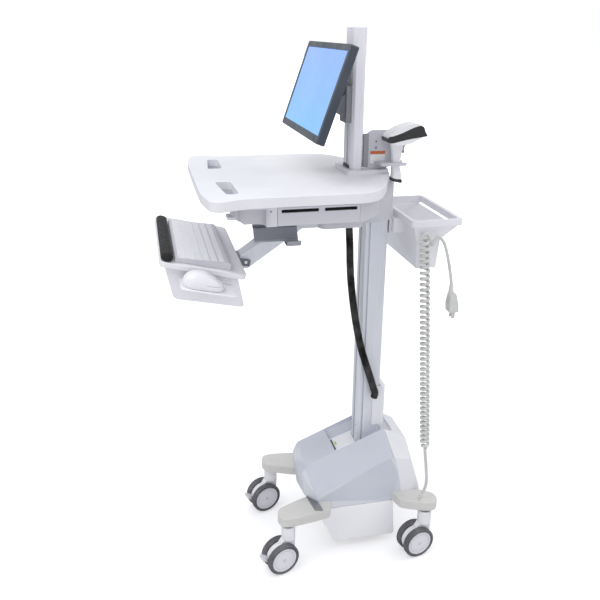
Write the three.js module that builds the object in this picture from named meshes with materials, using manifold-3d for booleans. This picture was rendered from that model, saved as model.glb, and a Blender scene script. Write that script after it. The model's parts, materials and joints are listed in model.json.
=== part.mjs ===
// Powered, height-adjustable computer cart for a hospital ward.
//
// Millimetres, +Z up. The user stands on the -Y side and +X is the user's right-hand side.
// The pieces are drawn about the point on the floor midway between the casters, and the
// finished cart is then moved so that its origin is under the middle of the whole cart.

import * as THREE from 'three';
import { mergeVertices } from 'three/addons/utils/BufferGeometryUtils.js';
import { ConvexGeometry } from 'three/addons/geometries/ConvexGeometry.js';
import Module from 'manifold-3d';

// ---------------------------------------------------------------- driving dimensions

// running gear
const WHEEL_RADIUS = 50;
const WHEEL_WIDTH = 20;
const WHEEL_INNER_FACE = 10.5;
const CASTER_TRAIL = 28;
const CASTER_HOOD_HALF_WIDTH = 9;
const CASTER_HOOD_RADIUS = 42;
const AXLE_RADIUS = 4;
const BEARING_TOP = 157.4;
const STEM_TOP = 164;
const FRONT_STEM = { x: 150, y: -190, swivel: THREE.MathUtils.degToRad(17) };
const REAR_STEM = { x: 168, y: 236, swivel: THREE.MathUtils.degToRad(11) };

// cast base
const LEG_BOTTOM = 158;
const LEG_TOP = 186;
const PLATE_TOP = 182;
const RISER_FOOT_TOP = 206;

// base housing
const SKIRT_BOTTOM = 156;
const SKIN = 3.5;
const BATTERY_BOX_BOTTOM = 26;
const BATTERY_BOX_HALF_WIDTH = 113;
const BATTERY_BOX_TOP = 155.6;
const BATTERY_BOX_CORNER = 10;

// riser: the fixed column, an aluminium extrusion with an open slot in front
const RISER_HALF_WIDTH = 28;
const RISER_FRONT = 50;
const RISER_REAR = 122;
const RISER_TOP = 1158;
const RISER_GAP = 1.2;
const GAS_CYLINDER_TOP = 690;

// head and worksurface
const SURFACE_TOP = 1175;
const SLAB_THICKNESS = 24;
const SURFACE_HALF_WIDTH = 282;
const HEAD_FLOOR = 1098;
const TUB_FLOOR = 1053;
const COLLAR_HEIGHT = 9;

// display column and display
const MAST_HALF_WIDTH = 40;
const MAST_FRONT = 2;
const MAST_REAR = 36;
const MAST_TOP = 1534;
const DISPLAY_WIDTH = 416;
const DISPLAY_HEIGHT = 234;
const DISPLAY_THICKNESS = 20;
const BEZEL_SIDE = 15;
const BEZEL_FOOT = 18;
const DISPLAY_LEAN = THREE.MathUtils.degToRad(-19.7);
const DISPLAY_CENTRE = { y: -85, z: 1385 };
const TILT_AXIS = { y: -26, z: 1345 };

// keyboard tray, drawn flat and then leaned as one group about its rear top edge
const TRAY_LEAN = THREE.MathUtils.degToRad(-13.3);
const TRAY_ORIGIN = { y: -325, z: 977 };
const TRAY_HALF_WIDTH = 222;
const TRAY_THICKNESS = 14;
const ARM_HEAD_PIVOT = { y: -140, z: 1042 };
const ARM_TRAY_PIVOT = { y: -282, z: 944 };
const ARM_HALF_WIDTH = 30;

// basket
const BASKET_RIM_TOP = 1062;
const BASKET_FLOOR = 923;

// sides of a turned part
const ROUND = 22;
const MIDDLE_OF_CART = -112.5;

// ---------------------------------------------------------------- solids

const wasm = await Module();
wasm.setup();

function toSolid(geometry) {
  const bare = geometry.clone();
  bare.deleteAttribute('normal');
  bare.deleteAttribute('uv');
  const merged = mergeVertices(bare, 1e-4);
  const index = merged.index.array;
  const triangles = [];
  for (let i = 0; i < index.length; i += 3) {
    const [a, b, c] = [index[i], index[i + 1], index[i + 2]];
    if (a !== b && b !== c && c !== a) {
      triangles.push(a, b, c);
    }
  }
  return new wasm.Manifold(new wasm.Mesh({
    numProp: 3,
    vertProperties: merged.attributes.position.array,
    triVerts: Uint32Array.from(triangles),
  }));
}

function toGeometry(solid) {
  const mesh = solid.getMesh();
  const geometry = new THREE.BufferGeometry();
  geometry.setAttribute('position', new THREE.BufferAttribute(mesh.vertProperties, 3));
  geometry.setIndex(new THREE.BufferAttribute(mesh.triVerts, 1));
  return geometry;
}

function join(first, ...others) {
  return others.reduce((sum, solid) => sum.add(solid), first);
}

function cut(body, ...tools) {
  return tools.reduce((rest, tool) => rest.subtract(tool), body);
}

// A box between two corners, given as three ranges.
function block([x0, x1], [y0, y1], [z0, z1]) {
  const geometry = new THREE.BoxGeometry(x1 - x0, y1 - y0, z1 - z0);
  geometry.translate((x0 + x1) / 2, (y0 + y1) / 2, (z0 + z1) / 2);
  return toSolid(geometry);
}

// A closed outline through the given corners, each rounded by up to the radius.
function outline(corners, radius = 0) {
  const points = corners.map(([u, v]) => new THREE.Vector2(u, v));
  const shape = new THREE.Shape();
  points.forEach((corner, i) => {
    const before = points[(i + points.length - 1) % points.length];
    const after = points[(i + 1) % points.length];
    const reach = Math.min(radius, corner.distanceTo(before) / 2.05, corner.distanceTo(after) / 2.05);
    const enter = corner.clone().lerp(before, reach / corner.distanceTo(before));
    const leave = corner.clone().lerp(after, reach / corner.distanceTo(after));
    if (i === 0) {
      shape.moveTo(enter.x, enter.y);
    } else {
      shape.lineTo(enter.x, enter.y);
    }
    if (reach > 0.01) {
      shape.quadraticCurveTo(corner.x, corner.y, leave.x, leave.y);
    }
  });
  shape.closePath();
  return shape;
}

function mirrored(corners) {
  return corners.concat(corners.map(([u, v]) => [-u, v]).reverse());
}

// An outline pushed along an axis: x takes (y, z) outlines, y takes (x, z), z takes (x, y).
function prism(axis, shape, [from, to], curveSegments = 4) {
  const geometry = new THREE.ExtrudeGeometry(shape, {
    depth: to - from,
    bevelEnabled: false,
    curveSegments,
  });
  if (axis === 'x') {
    const turn = new THREE.Matrix4().set(0, 0, 1, from, 1, 0, 0, 0, 0, 1, 0, 0, 0, 0, 0, 1);
    geometry.applyMatrix4(turn);
  } else if (axis === 'y') {
    geometry.rotateX(Math.PI / 2);
    geometry.translate(0, to, 0);
  } else {
    geometry.translate(0, 0, from);
  }
  return toSolid(geometry);
}

function slab(corners, zRange, radius = 0, curveSegments = 4) {
  return prism('z', outline(corners, radius), zRange, curveSegments);
}

function rectangle([u0, u1], [v0, v1]) {
  return [[u0, v0], [u1, v0], [u1, v1], [u0, v1]];
}

// A round bar along an axis, through the point given by the two other coordinates.
function bar(axis, radius, [from, to], [a, b], segments = ROUND, endRadius = radius) {
  const geometry = new THREE.CylinderGeometry(endRadius, radius, to - from, segments);
  const middle = (from + to) / 2;
  if (axis === 'x') {
    geometry.rotateZ(-Math.PI / 2);
    geometry.translate(middle, a, b);
  } else if (axis === 'y') {
    geometry.translate(a, middle, b);
  } else {
    geometry.rotateX(Math.PI / 2);
    geometry.translate(a, b, middle);
  }
  return toSolid(geometry);
}

// A turned ring: the closed profile is [radius, distance along the X axis].
function turnedAlongX(profile, x, y, z, segments = ROUND) {
  const points = profile.map(([radius, along]) => new THREE.Vector2(radius, along));
  points.push(points[0].clone());
  const geometry = new THREE.LatheGeometry(points, segments);
  geometry.rotateZ(-Math.PI / 2);
  geometry.translate(x, y, z);
  return toSolid(geometry);
}

function hull(points) {
  return toSolid(new ConvexGeometry(points.map(([x, y, z]) => new THREE.Vector3(x, y, z))));
}

function bothSides(points) {
  return points.concat(points.map(([x, y, z]) => [-x, y, z]));
}

// A round cord or hose along a smooth curve through the given points.
function cord(points, radius, steps, sides = 8) {
  const curve = new THREE.CatmullRomCurve3(points.map(([x, y, z]) => new THREE.Vector3(x, y, z)));
  const ring = new THREE.Shape();
  ring.absarc(0, 0, radius, 0, 2 * Math.PI, false);
  const geometry = new THREE.ExtrudeGeometry(ring, {
    steps,
    extrudePath: curve,
    curveSegments: sides,
  });
  return toSolid(geometry);
}

// ---------------------------------------------------------------- finishes

function finish(color, roughness, metalness = 0) {
  return new THREE.MeshStandardMaterial({ color, roughness, metalness });
}

const WHITE_ABS = finish(0xeeeff2, 0.4);
const PALE_ABS = finish(0xd9d8df, 0.45);
const BLUE_GREY_ABS = finish(0xc4c9d4, 0.45);
const ALLOY = finish(0xc6cbd4, 0.35, 0.6);
const CAST_ALLOY = finish(0xcac9c4, 0.4, 0.6);
const DARK_STEEL = finish(0x6d7078, 0.45, 0.4);
const DARK_PLASTIC = finish(0x45474d, 0.5);
const SCREEN_GLASS = finish(0xa0c3ff, 0.2);
const BEZEL = finish(0x3c4652, 0.4);
const TYRE = finish(0x5f5f64, 0.8);
const SOFT_BLACK = finish(0x2a2a2c, 0.8);
const BRIGHT_STEEL = finish(0xc8c8c8, 0.25, 0.9);
const CORD_GREY = finish(0xc9cac6, 0.5);

const cart = new THREE.Group();

function piece(parent, name, solid, material) {
  const mesh = new THREE.Mesh(toGeometry(solid), material);
  mesh.name = name;
  parent.add(mesh);
}

// ---------------------------------------------------------------- cast base and housing

const FRONT_LEG = [
  [66, -50], [78, -124], [100, -178], [116, -212], [142, -222], [168, -212], [173, -186], [164, -109],
  [153, -60], [112, -52],
];
const REAR_LEG = [
  [80, 120], [98, 190], [122, 246], [144, 272], [172, 274], [190, 258], [188, 232], [158, 160], [108, 146],
];

function legPlan(corners, side) {
  return corners.map(([x, y]) => [side * x, y]);
}

function leg(corners, side) {
  const flat = slab(legPlan(corners, side), [LEG_BOTTOM, LEG_TOP], 12, 3);
  const stem = corners === FRONT_LEG ? FRONT_STEM : REAR_STEM;
  return cut(flat, bar('z', 8.4, [LEG_BOTTOM - 1, STEM_TOP + 1], [side * stem.x, stem.y], 16));
}

function baseFrame() {
  const plate = slab(mirrored([[96, -76], [104, -40], [104, 176], [92, 184]]), [160, PLATE_TOP]);
  const riserFoot = slab(mirrored([[42, 36], [42, 136]]), [PLATE_TOP - 2, RISER_FOOT_TOP]);
  const legs = [1, -1].flatMap((side) => [leg(FRONT_LEG, side), leg(REAR_LEG, side)]);
  return join(plate, riserFoot, ...legs);
}

// The roof of the housing rises toward the column, has a crease down each flank
// and a shallow valley in which the column foot stands.
const ROOF = {
  frontCrest: [68, -116, 291],
  rearCrest: [68, 122, 391],
  rearFall: [62, 200, 347],
  frontCrease: [110, -96, 207],
  rearCrease: [110, 143, 312],
};

function housingEnvelope() {
  return hull(bothSides([
    ROOF.frontCrest, ROOF.rearCrest, ROOF.rearFall, ROOF.frontCrease, ROOF.rearCrease,
    [104, 206, 290], [98, 240, 190], [100, 246, SKIRT_BOTTOM],
    [112, -84, SKIRT_BOTTOM], [112, 200, SKIRT_BOTTOM],
    [0, -118, 292], [62, -131, 264], [0, -138, 264],
    [90, -113, 230], [68, -124, 190], [0, -132, 190], [84, -97, SKIRT_BOTTOM], [0, -106, SKIRT_BOTTOM],
  ]));
}

function housingCavity() {
  return hull(bothSides([
    [64, -112, 286], [64, 121, 386], [58, 196, 342], [106, -92, 204], [106, 142, 307],
    [100, 202, 286], [94, 236, 188], [96, 242, SKIRT_BOTTOM],
    [108, -81, SKIRT_BOTTOM], [108, 198, SKIRT_BOTTOM],
    [0, -114, 287], [59, -127, 262], [0, -134, 262],
    [86, -109, 229], [65, -120, 190], [0, -128, 190], [81, -93, SKIRT_BOTTOM], [0, -102, SKIRT_BOTTOM],
    [81, -93, SKIRT_BOTTOM - 20], [0, -102, SKIRT_BOTTOM - 20], [108, -81, SKIRT_BOTTOM - 20],
    [108, 198, SKIRT_BOTTOM - 20], [96, 242, SKIRT_BOTTOM - 20],
  ]));
}

const VALLEY_FLOOR_FRONT = 301.5;
const VALLEY_SLOPE = 0.33;
const VALLEY_FRONT = -23;
const PLATE_HALF_WIDTH = 37;
const PLATE_THICKNESS = 4;

function valleyFloor(y) {
  return VALLEY_FLOOR_FRONT + VALLEY_SLOPE * (y - VALLEY_FRONT);
}

// A trapezoidal trough along Y whose floor climbs with the roof.
function valley(grow) {
  const near = VALLEY_FRONT - grow;
  const far = 160;
  const half = PLATE_HALF_WIDTH + 0.5 + grow;
  const section = (y, ease) => {
    const floor = valleyFloor(y) - grow;
    return [[half, y, floor], [half + 27, y - ease, floor + 22], [half + 35, y - ease, floor + 90]];
  };
  return hull(bothSides([...section(near, 5), ...section(far, 0)]));
}

const LEG_GAP = 2;

function legClearance() {
  const grow = (corners, side) => {
    const middle = corners === FRONT_LEG ? { x: 118, y: -130 } : { x: 138, y: 200 };
    const pushed = corners.map(([x, y]) => [
      x + Math.sign(x - middle.x) * LEG_GAP, y + Math.sign(y - middle.y) * LEG_GAP,
    ]);
    return legPlan(pushed, side);
  };
  return [1, -1].flatMap((side) => [FRONT_LEG, REAR_LEG].map(
    (corners) => slab(grow(corners, side), [100, LEG_TOP + 1], 6, 2)));
}

function riserClearance(gap) {
  return block(
    [-RISER_HALF_WIDTH - gap, RISER_HALF_WIDTH + gap],
    [RISER_FRONT - gap, RISER_REAR + gap],
    [200, 1400],
  );
}

// Everything behind the leaning seam, which crosses the roof just behind the column.
function behindSeam(offset) {
  const seam = [[124.5 + offset, 400], [126 + offset, 385], [160 + offset, 275], [190 + offset, 120]];
  return prism('x', outline([...seam, [400, 120], [400, 400]]), [-200, 200]);
}

function housingShell() {
  const outside = cut(housingEnvelope(), valley(0));
  const inside = cut(housingCavity(), valley(SKIN));
  return cut(outside, inside, ...legClearance(), riserClearance(1));
}

function baseCover() {
  return cut(housingShell(), behindSeam(0));
}

function rearCover() {
  return housingShell().intersect(behindSeam(0.4));
}

function columnPlate() {
  const ends = [VALLEY_FRONT + 0.6, 120];
  const underside = ends.map((y) => [y, valleyFloor(y) + 0.5]);
  const upperSide = ends.map((y) => [y, valleyFloor(y) + 0.5 + PLATE_THICKNESS]).reverse();
  const side = outline([...underside, ...upperSide]);
  return cut(prism('x', side, [-PLATE_HALF_WIDTH, PLATE_HALF_WIDTH]), riserClearance(0.6));
}

function batteryBox() {
  const side = (inset, bottom, top) => outline([
    [-92 + inset, top], [-32 + inset, bottom], [162 - inset, bottom], [152 - inset, top],
  ], BATTERY_BOX_CORNER - inset);
  const half = BATTERY_BOX_HALF_WIDTH;
  const outer = prism('x', side(0, BATTERY_BOX_BOTTOM, BATTERY_BOX_TOP), [-half, half]);
  const inner = prism('x', side(4, BATTERY_BOX_BOTTOM + 4, BATTERY_BOX_TOP + 5), [-half + 4, half - 4]);
  return cut(outer, inner);
}

// The same solid, larger by a factor about a point inside the housing.
function swollen(solid, factor) {
  const geometry = toGeometry(solid);
  geometry.translate(0, -60, -200);
  geometry.scale(factor, factor, factor);
  geometry.translate(0, 60, 200);
  return toSolid(geometry);
}

function legTrim(side) {
  const wedge = [[70, -120], [148, -108], [154, -84], [74, -94]];
  const plate = slab(legPlan(wedge, side), [LEG_TOP + 0.4, LEG_TOP + 3]);
  return cut(plate, swollen(housingEnvelope(), 1.006));
}

// ---------------------------------------------------------------- riser

function riserSection() {
  const outer = [
    [5, RISER_FRONT], [22, RISER_FRONT], [RISER_HALF_WIDTH, 56], [RISER_HALF_WIDTH, 64], [22, 64], [22, 69],
    [RISER_HALF_WIDTH, 69], [RISER_HALF_WIDTH, 112], [25, 119], [18, RISER_REAR],
  ];
  const cavity = [[17, 116], [17, 56], [5, 56]];
  const left = (corners) => corners.map(([x, y]) => [-x, y]).reverse();
  return outline([...outer, ...left(outer), [-5, 56], [-17, 56], [-17, 116], ...cavity]);
}

function inletCover() {
  const outer = slab(mirrored([[33, 97], [33, 130], [24, 138]]), [386, 520]);
  return cut(outer, riserClearance(0.6));
}

// ---------------------------------------------------------------- casters

// Each caster is drawn about its own stem, with the wheels trailing toward -Y.
const AXLE = [-CASTER_TRAIL, WHEEL_RADIUS];

function casterHousing() {
  const across = [-CASTER_HOOD_HALF_WIDTH, CASTER_HOOD_HALF_WIDTH];
  const hood = bar('x', CASTER_HOOD_RADIUS, across, AXLE, 28);
  const neck = block(across, [-CASTER_TRAIL - 6, 18], [66, 122]);
  const barrel = bar('z', 21, [112, 150], [0, 0], 20, 19);
  const bearing = bar('z', 15, [148, BEARING_TOP], [0, 0], 20);
  const pin = bar('z', 7.6, [BEARING_TOP - 2, STEM_TOP], [0, 0], 16);
  const axle = bar('x', AXLE_RADIUS, [-29, 29], AXLE, 16);
  return join(hood, neck, barrel, bearing, pin, axle);
}

function wheel(outward) {
  const inner = WHEEL_INNER_FACE;
  const outer = WHEEL_INNER_FACE + WHEEL_WIDTH;
  const bore = AXLE_RADIUS + 0.4;
  const shoulder = 5;
  const profile = [
    [bore, inner + 5], [bore, outer - 1], [36, outer - 1], [40, outer],
    [WHEEL_RADIUS - shoulder, outer], [WHEEL_RADIUS, outer - shoulder],
    [WHEEL_RADIUS, inner + shoulder], [WHEEL_RADIUS - shoulder, inner],
    [41, inner], [37, inner + 5],
  ].map(([radius, along]) => [radius, outward * along]);
  const ordered = outward > 0 ? profile.reverse() : profile;
  return turnedAlongX(ordered, 0, ...AXLE);
}

// The tongue's lower front corner is cut back so that the full press clears the hood.
function brakePedal() {
  const tip = [[-CASTER_TRAIL - 63, 60], [-CASTER_TRAIL - 61, 67]];
  const tongue = prism('x', outline([
    [-CASTER_TRAIL - 43, 53], [-CASTER_TRAIL - 45.5, 46], [-CASTER_TRAIL - 54, 52], ...tip,
    [-CASTER_TRAIL - 50, 65], [-CASTER_TRAIL - 43, 60],
  ]), [-CASTER_HOOD_HALF_WIDTH, CASTER_HOOD_HALF_WIDTH]);
  const pad = prism('x', outline([
    [-CASTER_TRAIL - 53, 57], ...tip, [-CASTER_TRAIL - 52, 64.5],
  ]), [-14, 14]);
  return join(tongue, pad);
}

// ---------------------------------------------------------------- head

const SURFACE_PLAN = mirrored([
  [60, -410], [210, -409], [292, -396], [309, -376], [SURFACE_HALF_WIDTH + 3, -322],
  [SURFACE_HALF_WIDTH, -260], [SURFACE_HALF_WIDTH, -24], [252, 18], [176, 56], [76, 94], [58, 106],
]);

const HANDLE_HOLE = [[88, -362], [88, -323], [228, -321], [230, -350]];

function worksurface() {
  const top = slab(SURFACE_PLAN, [SURFACE_TOP - SLAB_THICKNESS, SURFACE_TOP], 26, 5);
  const collar = slab(mirrored([[66, -14], [66, 42], [56, 104]]),
    [SURFACE_TOP - 6, SURFACE_TOP + COLLAR_HEIGHT], 12, 4);
  const holes = [1, -1].map((side) => {
    const corners = HANDLE_HOLE.map(([x, y]) => [side * x, y]);
    return slab(corners, [1100, 1200], 12, 4);
  });
  const mastRoom = block([-MAST_HALF_WIDTH - 0.5, MAST_HALF_WIDTH + 0.5],
    [MAST_FRONT - 0.5, MAST_REAR + 0.5], [1166, 1200]);
  return cut(join(top, collar), ...holes, mastRoom, riserClearance(RISER_GAP));
}

// The deck is a shallow box under the worksurface, open on top.
function headDeck() {
  const top = SURFACE_TOP - SLAB_THICKNESS - 0.4;
  const outside = slab(mirrored([
    [150, -352], [238, -330], [252, -306], [252, -30], [200, 24], [96, 70],
  ]), [HEAD_FLOOR, top], 14, 3);
  const hollow = slab(mirrored([[202, -290], [210, -262], [236, -254], [236, -44], [190, 10], [80, 26]]),
    [HEAD_FLOOR + 4, top + 5], 6, 2);
  const noseCut = prism('x', outline([[-360, 1090], [-360, 1140], [-300, 1090]]), [-300, 300]);
  return cut(outside, cut(hollow, riserClearance(14)), noseCut);
}

// The tub under the deck: wide round the riser and narrower toward the tray arm.
function headTub() {
  const wide = slab(mirrored([[128, -104], [140, -90], [140, 4], [120, 18], [60, 40]]),
    [TUB_FLOOR, HEAD_FLOOR + 2], 8, 3);
  const narrow = slab(mirrored([[96, -262], [119.6, -250], [119.6, -96], [100, -90]]),
    [TUB_FLOOR, HEAD_FLOOR + 2], 6, 2);
  const armRoom = block([-ARM_HALF_WIDTH - 0.8, ARM_HALF_WIDTH + 0.8],
    [ARM_HEAD_PIVOT.y - 28, ARM_HEAD_PIVOT.y + 28], [TUB_FLOOR - 2, ARM_HEAD_PIVOT.z + 25]);
  return cut(join(wide, narrow), armRoom);
}

function tubHollows() {
  return [1, -1].map((side) => slab(
    legPlan([[44, -256], [94, -256], [115, -246], [115, -30], [44, -30]], side),
    [TUB_FLOOR + 3, HEAD_FLOOR + 6]));
}

// Two lugs that carry the head end of the tray arm.
function armLugs() {
  const { y, z } = ARM_HEAD_PIVOT;
  const cheek = outline([
    [y - 16, z - 10], [y + 16, z - 10], [y + 24, HEAD_FLOOR + 2], [y - 24, HEAD_FLOOR + 2],
  ], 6);
  const near = ARM_HALF_WIDTH + 1;
  return [[near, near + 7], [-near - 7, -near]].map((range) => prism('x', cheek, range));
}

function headBody() {
  const deckTop = SURFACE_TOP - SLAB_THICKNESS - 0.4;
  const collar = slab(mirrored([[70, 20], [70, 88], [58, 108], [27, 131]]), [TUB_FLOOR - 8, deckTop], 10, 3);
  const rearStrap = block([-26, 26], [100, 131], [1000, deckTop]);
  const scoops = [1, -1].map((side) => slab(
    legPlan([[218, -326], [290, -326], [290, -262], [218, -262]], side),
    [HEAD_FLOOR - 2, HEAD_FLOOR + 42], 24, 5));
  const slotRoom = [[246, 262], [-262, -246]].map((range) => block(
    range, [-236, -34], [HEAD_FLOOR - 2, HEAD_FLOOR + 46]));
  const pinHole = bar('x', 5.3, [-60, 60], [ARM_HEAD_PIVOT.y, ARM_HEAD_PIVOT.z], 16);
  const shell = cut(join(headDeck(), headTub(), collar, rearStrap, ...armLugs()),
    ...tubHollows(), ...scoops, ...slotRoom, riserClearance(RISER_GAP), pinHole);
  const blades = [[23.4, 31], [-31, -23.4]].map((range) => block(range, [64.8, 68.2], [1060, 1140]));
  const grip = block([-3.6, 3.6], [44, 60], [1104, 1136]);
  const carrier = block([-14, 14], [58, 112], [1104, 1136]);
  const rodSeat = bar('z', 5.3, [1090, 1120], [0, 86], 16);
  return cut(join(shell, ...blades, grip, carrier, leverBracket()), rodSeat);
}

function sidePanel(side) {
  const range = side > 0 ? [246.4, 252] : [-252, -246.4];
  const panel = block(range, [-235, -35], [HEAD_FLOOR + 1, HEAD_FLOOR + 45]);
  const slots = [[-226, -136], [-122, -42]].map(([from, to]) => prism('x', outline(
    rectangle([from, to], [HEAD_FLOOR + 32, HEAD_FLOOR + 40]), 3), [-300, 300]));
  return cut(panel, ...slots);
}

function cableTray() {
  const section = [
    [120, HEAD_FLOOR - 0.4], [123, HEAD_FLOOR - 0.4], [123, 1068], [136, 1064], [150, 1036], [158, 1031],
    [182, 1031], [187, 1042], [190, 1041], [185, 1028], [157, 1028], [147, 1034], [133, 1061], [120, 1065],
  ];
  const length = [-276, -164];
  const frontLipRoom = block([151, 200], [-300, -200], [1020, 1060]);
  return cut(prism('y', outline(section), length), frontLipRoom);
}

const LEVER_AXIS = { y: -288, z: HEAD_FLOOR - 8.5 };

function releaseLever() {
  const blade = slab(rectangle([84, 128], [-338, LEVER_AXIS.y]), [HEAD_FLOOR - 12, HEAD_FLOOR - 5], 8, 4);
  const barrel = bar('x', 5, [84, 128], [LEVER_AXIS.y, LEVER_AXIS.z], 16);
  return cut(join(blade, barrel), bar('x', 2.4, [80, 132], [LEVER_AXIS.y, LEVER_AXIS.z], 12));
}

function leverBracket() {
  const cheeks = [[79, 83], [129, 133]].map((range) => prism('x', outline([
    [LEVER_AXIS.y - 8, HEAD_FLOOR - 14], [LEVER_AXIS.y + 8, HEAD_FLOOR - 14],
    [LEVER_AXIS.y + 12, HEAD_FLOOR + 1], [LEVER_AXIS.y - 12, HEAD_FLOOR + 1],
  ]), range));
  const bridge = block([79, 133], [LEVER_AXIS.y - 12, LEVER_AXIS.y + 12], [HEAD_FLOOR - 2.4, HEAD_FLOOR + 1]);
  const pin = bar('x', 2, [79, 133], [LEVER_AXIS.y, LEVER_AXIS.z], 12);
  return join(bridge, ...cheeks, pin);
}

// ---------------------------------------------------------------- display column and display

function mast() {
  const section = outline([
    [7, MAST_FRONT], [32, MAST_FRONT], [MAST_HALF_WIDTH, 8], [MAST_HALF_WIDTH, 30], [32, MAST_REAR],
    [-32, MAST_REAR], [-MAST_HALF_WIDTH, 30], [-MAST_HALF_WIDTH, 8], [-32, MAST_FRONT], [-7, MAST_FRONT],
    [-7, 8], [-20, 8], [-20, 20], [20, 20], [20, 8], [7, 8],
  ]);
  const lid = slab(mirrored([[32, MAST_FRONT], [MAST_HALF_WIDTH, 8], [MAST_HALF_WIDTH, 30], [32, MAST_REAR]]),
    [MAST_TOP - 4, MAST_TOP]);
  return join(prism('z', section, [1167, MAST_TOP - 3]), lid);
}

function displayCarriage() {
  const shoe = block([-19, 19], [9, 19], [1308, 1392]);
  const neck = block([-6, 6], [0, 12], [1308, 1392]);
  const face = slab(mirrored([[30, -12], [30, 1.2]]), [1302, 1394], 0);
  const { y, z } = TILT_AXIS;
  const cheeks = [[-26, -18], [18, 26]].map((range) => prism('x', outline([
    [y - 16, z - 6], [y - 10, z - 16], [-10, z - 30], [-10, z + 30], [y - 10, z + 16], [y - 16, z + 6],
  ], 4), range));
  const pin = bar('x', 5, [-26, 26], [y, z], 16);
  return join(face, neck, shoe, ...cheeks, pin);
}

function tiltPlate() {
  const { y, z } = TILT_AXIS;
  const hub = bar('x', 13, [-17.4, 17.4], [y, z], 20);
  const group = leaned(DISPLAY_CENTRE, DISPLAY_LEAN);
  const back = DISPLAY_THICKNESS / 2 + 12.4;
  const plate = group(block([-50, 50], [back, back + 3.6], [-50, 50]));
  const strut = hull([
    [-16, y - 8, z - 10], [16, y - 8, z - 10], [-16, y - 8, z + 10], [16, y - 8, z + 10],
    [-16, -60, z + 44], [16, -60, z + 44], [-16, -74, z + 4], [16, -74, z + 4],
    [-16, -54, z + 42], [16, -54, z + 42], [-16, -68, z + 2], [16, -68, z + 2],
  ]);
  const trimmed = cut(strut, group(block([-80, 80], [-100, back + 0.2], [-200, 200])));
  return cut(join(hub, trimmed, plate), bar('x', 5.4, [-30, 30], [y, z], 16));
}

function leaned(centre, lean) {
  return (solid) => {
    const geometry = toGeometry(solid);
    geometry.rotateX(lean);
    geometry.translate(0, centre.y, centre.z);
    return toSolid(geometry);
  };
}

function displayShell() {
  const halfWidth = DISPLAY_WIDTH / 2;
  const halfHeight = DISPLAY_HEIGHT / 2;
  const half = DISPLAY_THICKNESS / 2;
  const frame = prism('y', outline(rectangle([-halfWidth, halfWidth], [-halfHeight, halfHeight]), 6),
    [-half, half], 3);
  const bulge = hull(bothSides([
    [170, half - 1, 92], [170, half - 1, -92], [150, half + 12, 72], [150, half + 12, -72],
  ]));
  const glassRoom = block([-halfWidth + BEZEL_SIDE, halfWidth - BEZEL_SIDE], [-half - 1, -half + 5],
    [-halfHeight + BEZEL_FOOT, halfHeight - BEZEL_SIDE]);
  const buttonRoom = block([158, 166], [-half - 1, -half + 5], [-halfHeight + 5, -halfHeight + 11]);
  return cut(join(frame, bulge), glassRoom, buttonRoom);
}

function screen() {
  const halfWidth = DISPLAY_WIDTH / 2;
  const halfHeight = DISPLAY_HEIGHT / 2;
  const half = DISPLAY_THICKNESS / 2;
  const gap = 0.4;
  const across = halfWidth - BEZEL_SIDE - gap;
  return block([-across, across], [-half + 1.2, -half + 4.6],
    [-halfHeight + BEZEL_FOOT + gap, halfHeight - BEZEL_SIDE - gap]);
}

function powerButton() {
  const half = DISPLAY_THICKNESS / 2;
  const low = -DISPLAY_HEIGHT / 2;
  return block([158.4, 165.6], [-half - 0.8, -half + 2.5], [low + 5.4, low + 10.6]);
}

// ---------------------------------------------------------------- keyboard tray

function trayArm() {
  const { y: y0, z: z0 } = ARM_TRAY_PIVOT;
  const { y: y1, z: z1 } = ARM_HEAD_PIVOT;
  const range = [-ARM_HALF_WIDTH, ARM_HALF_WIDTH];
  const tip = bar('x', 20, range, [y0, z0], 20);
  const root = bar('x', 21, range, [y1, z1], 20);
  const along = new THREE.Vector2(y1 - y0, z1 - z0).normalize();
  const across = new THREE.Vector2(-along.y, along.x);
  const corner = (y, z, reach) => [y + across.x * reach, z + across.y * reach];
  const web = prism('x', outline([
    corner(y0, z0, -19.5), corner(y1, z1, -20.5), corner(y1, z1, 20.5), corner(y0, z0, 19.5),
  ]), range);
  const bores = [[y0, z0], [y1, z1]].map(([y, z]) => bar('x', 5.4, [-60, 60], [y, z], 16));
  return cut(join(tip, root, web), ...bores);
}

function armPin({ y, z }) {
  return bar('x', 5, [-ARM_HALF_WIDTH - 8, ARM_HALF_WIDTH + 8], [y, z], 16);
}

const TRAY_FRONT = -190;
const BOX_TOP = -14.4;
const BOX_CORNER = 12;
const TRAY_REAR = 20;

function trayDeck() {
  const top = slab(rectangle([-TRAY_HALF_WIDTH, TRAY_HALF_WIDTH], [TRAY_FRONT, TRAY_REAR]),
    [-TRAY_THICKNESS, 0], 18, 4);
  const relief = slab(rectangle([-TRAY_HALF_WIDTH + 8, TRAY_HALF_WIDTH - 8], [TRAY_FRONT + 8, TRAY_REAR - 8]),
    [-TRAY_THICKNESS - 1, -5], 12, 3);
  return cut(top, relief);
}

function trayHinge() {
  const pivot = new THREE.Vector2(ARM_TRAY_PIVOT.y - TRAY_ORIGIN.y, ARM_TRAY_PIVOT.z - TRAY_ORIGIN.z);
  pivot.rotateAround(new THREE.Vector2(0, 0), -TRAY_LEAN);
  const cheeks = [-1, 1].map((side) => {
    const near = ARM_HALF_WIDTH + 1;
    const range = side > 0 ? [near, near + 7] : [-near - 7, -near];
    return prism('x', outline([
      [-20, -14], [-20, -5.4], [TRAY_REAR - 10, -5.4], [TRAY_REAR - 9, -15], [TRAY_REAR + 6, -15],
      [pivot.x + 12, pivot.y + 8], [pivot.x + 12, pivot.y - 10], [pivot.x - 12, pivot.y - 12],
    ], 3), range);
  });
  const plate = block([-120, 120], [-60, -8], [-9, -5.4]);
  const bore = bar('x', 5.3, [-60, 60], [pivot.x, pivot.y], 16);
  return cut(join(plate, ...cheeks), bore);
}

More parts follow.
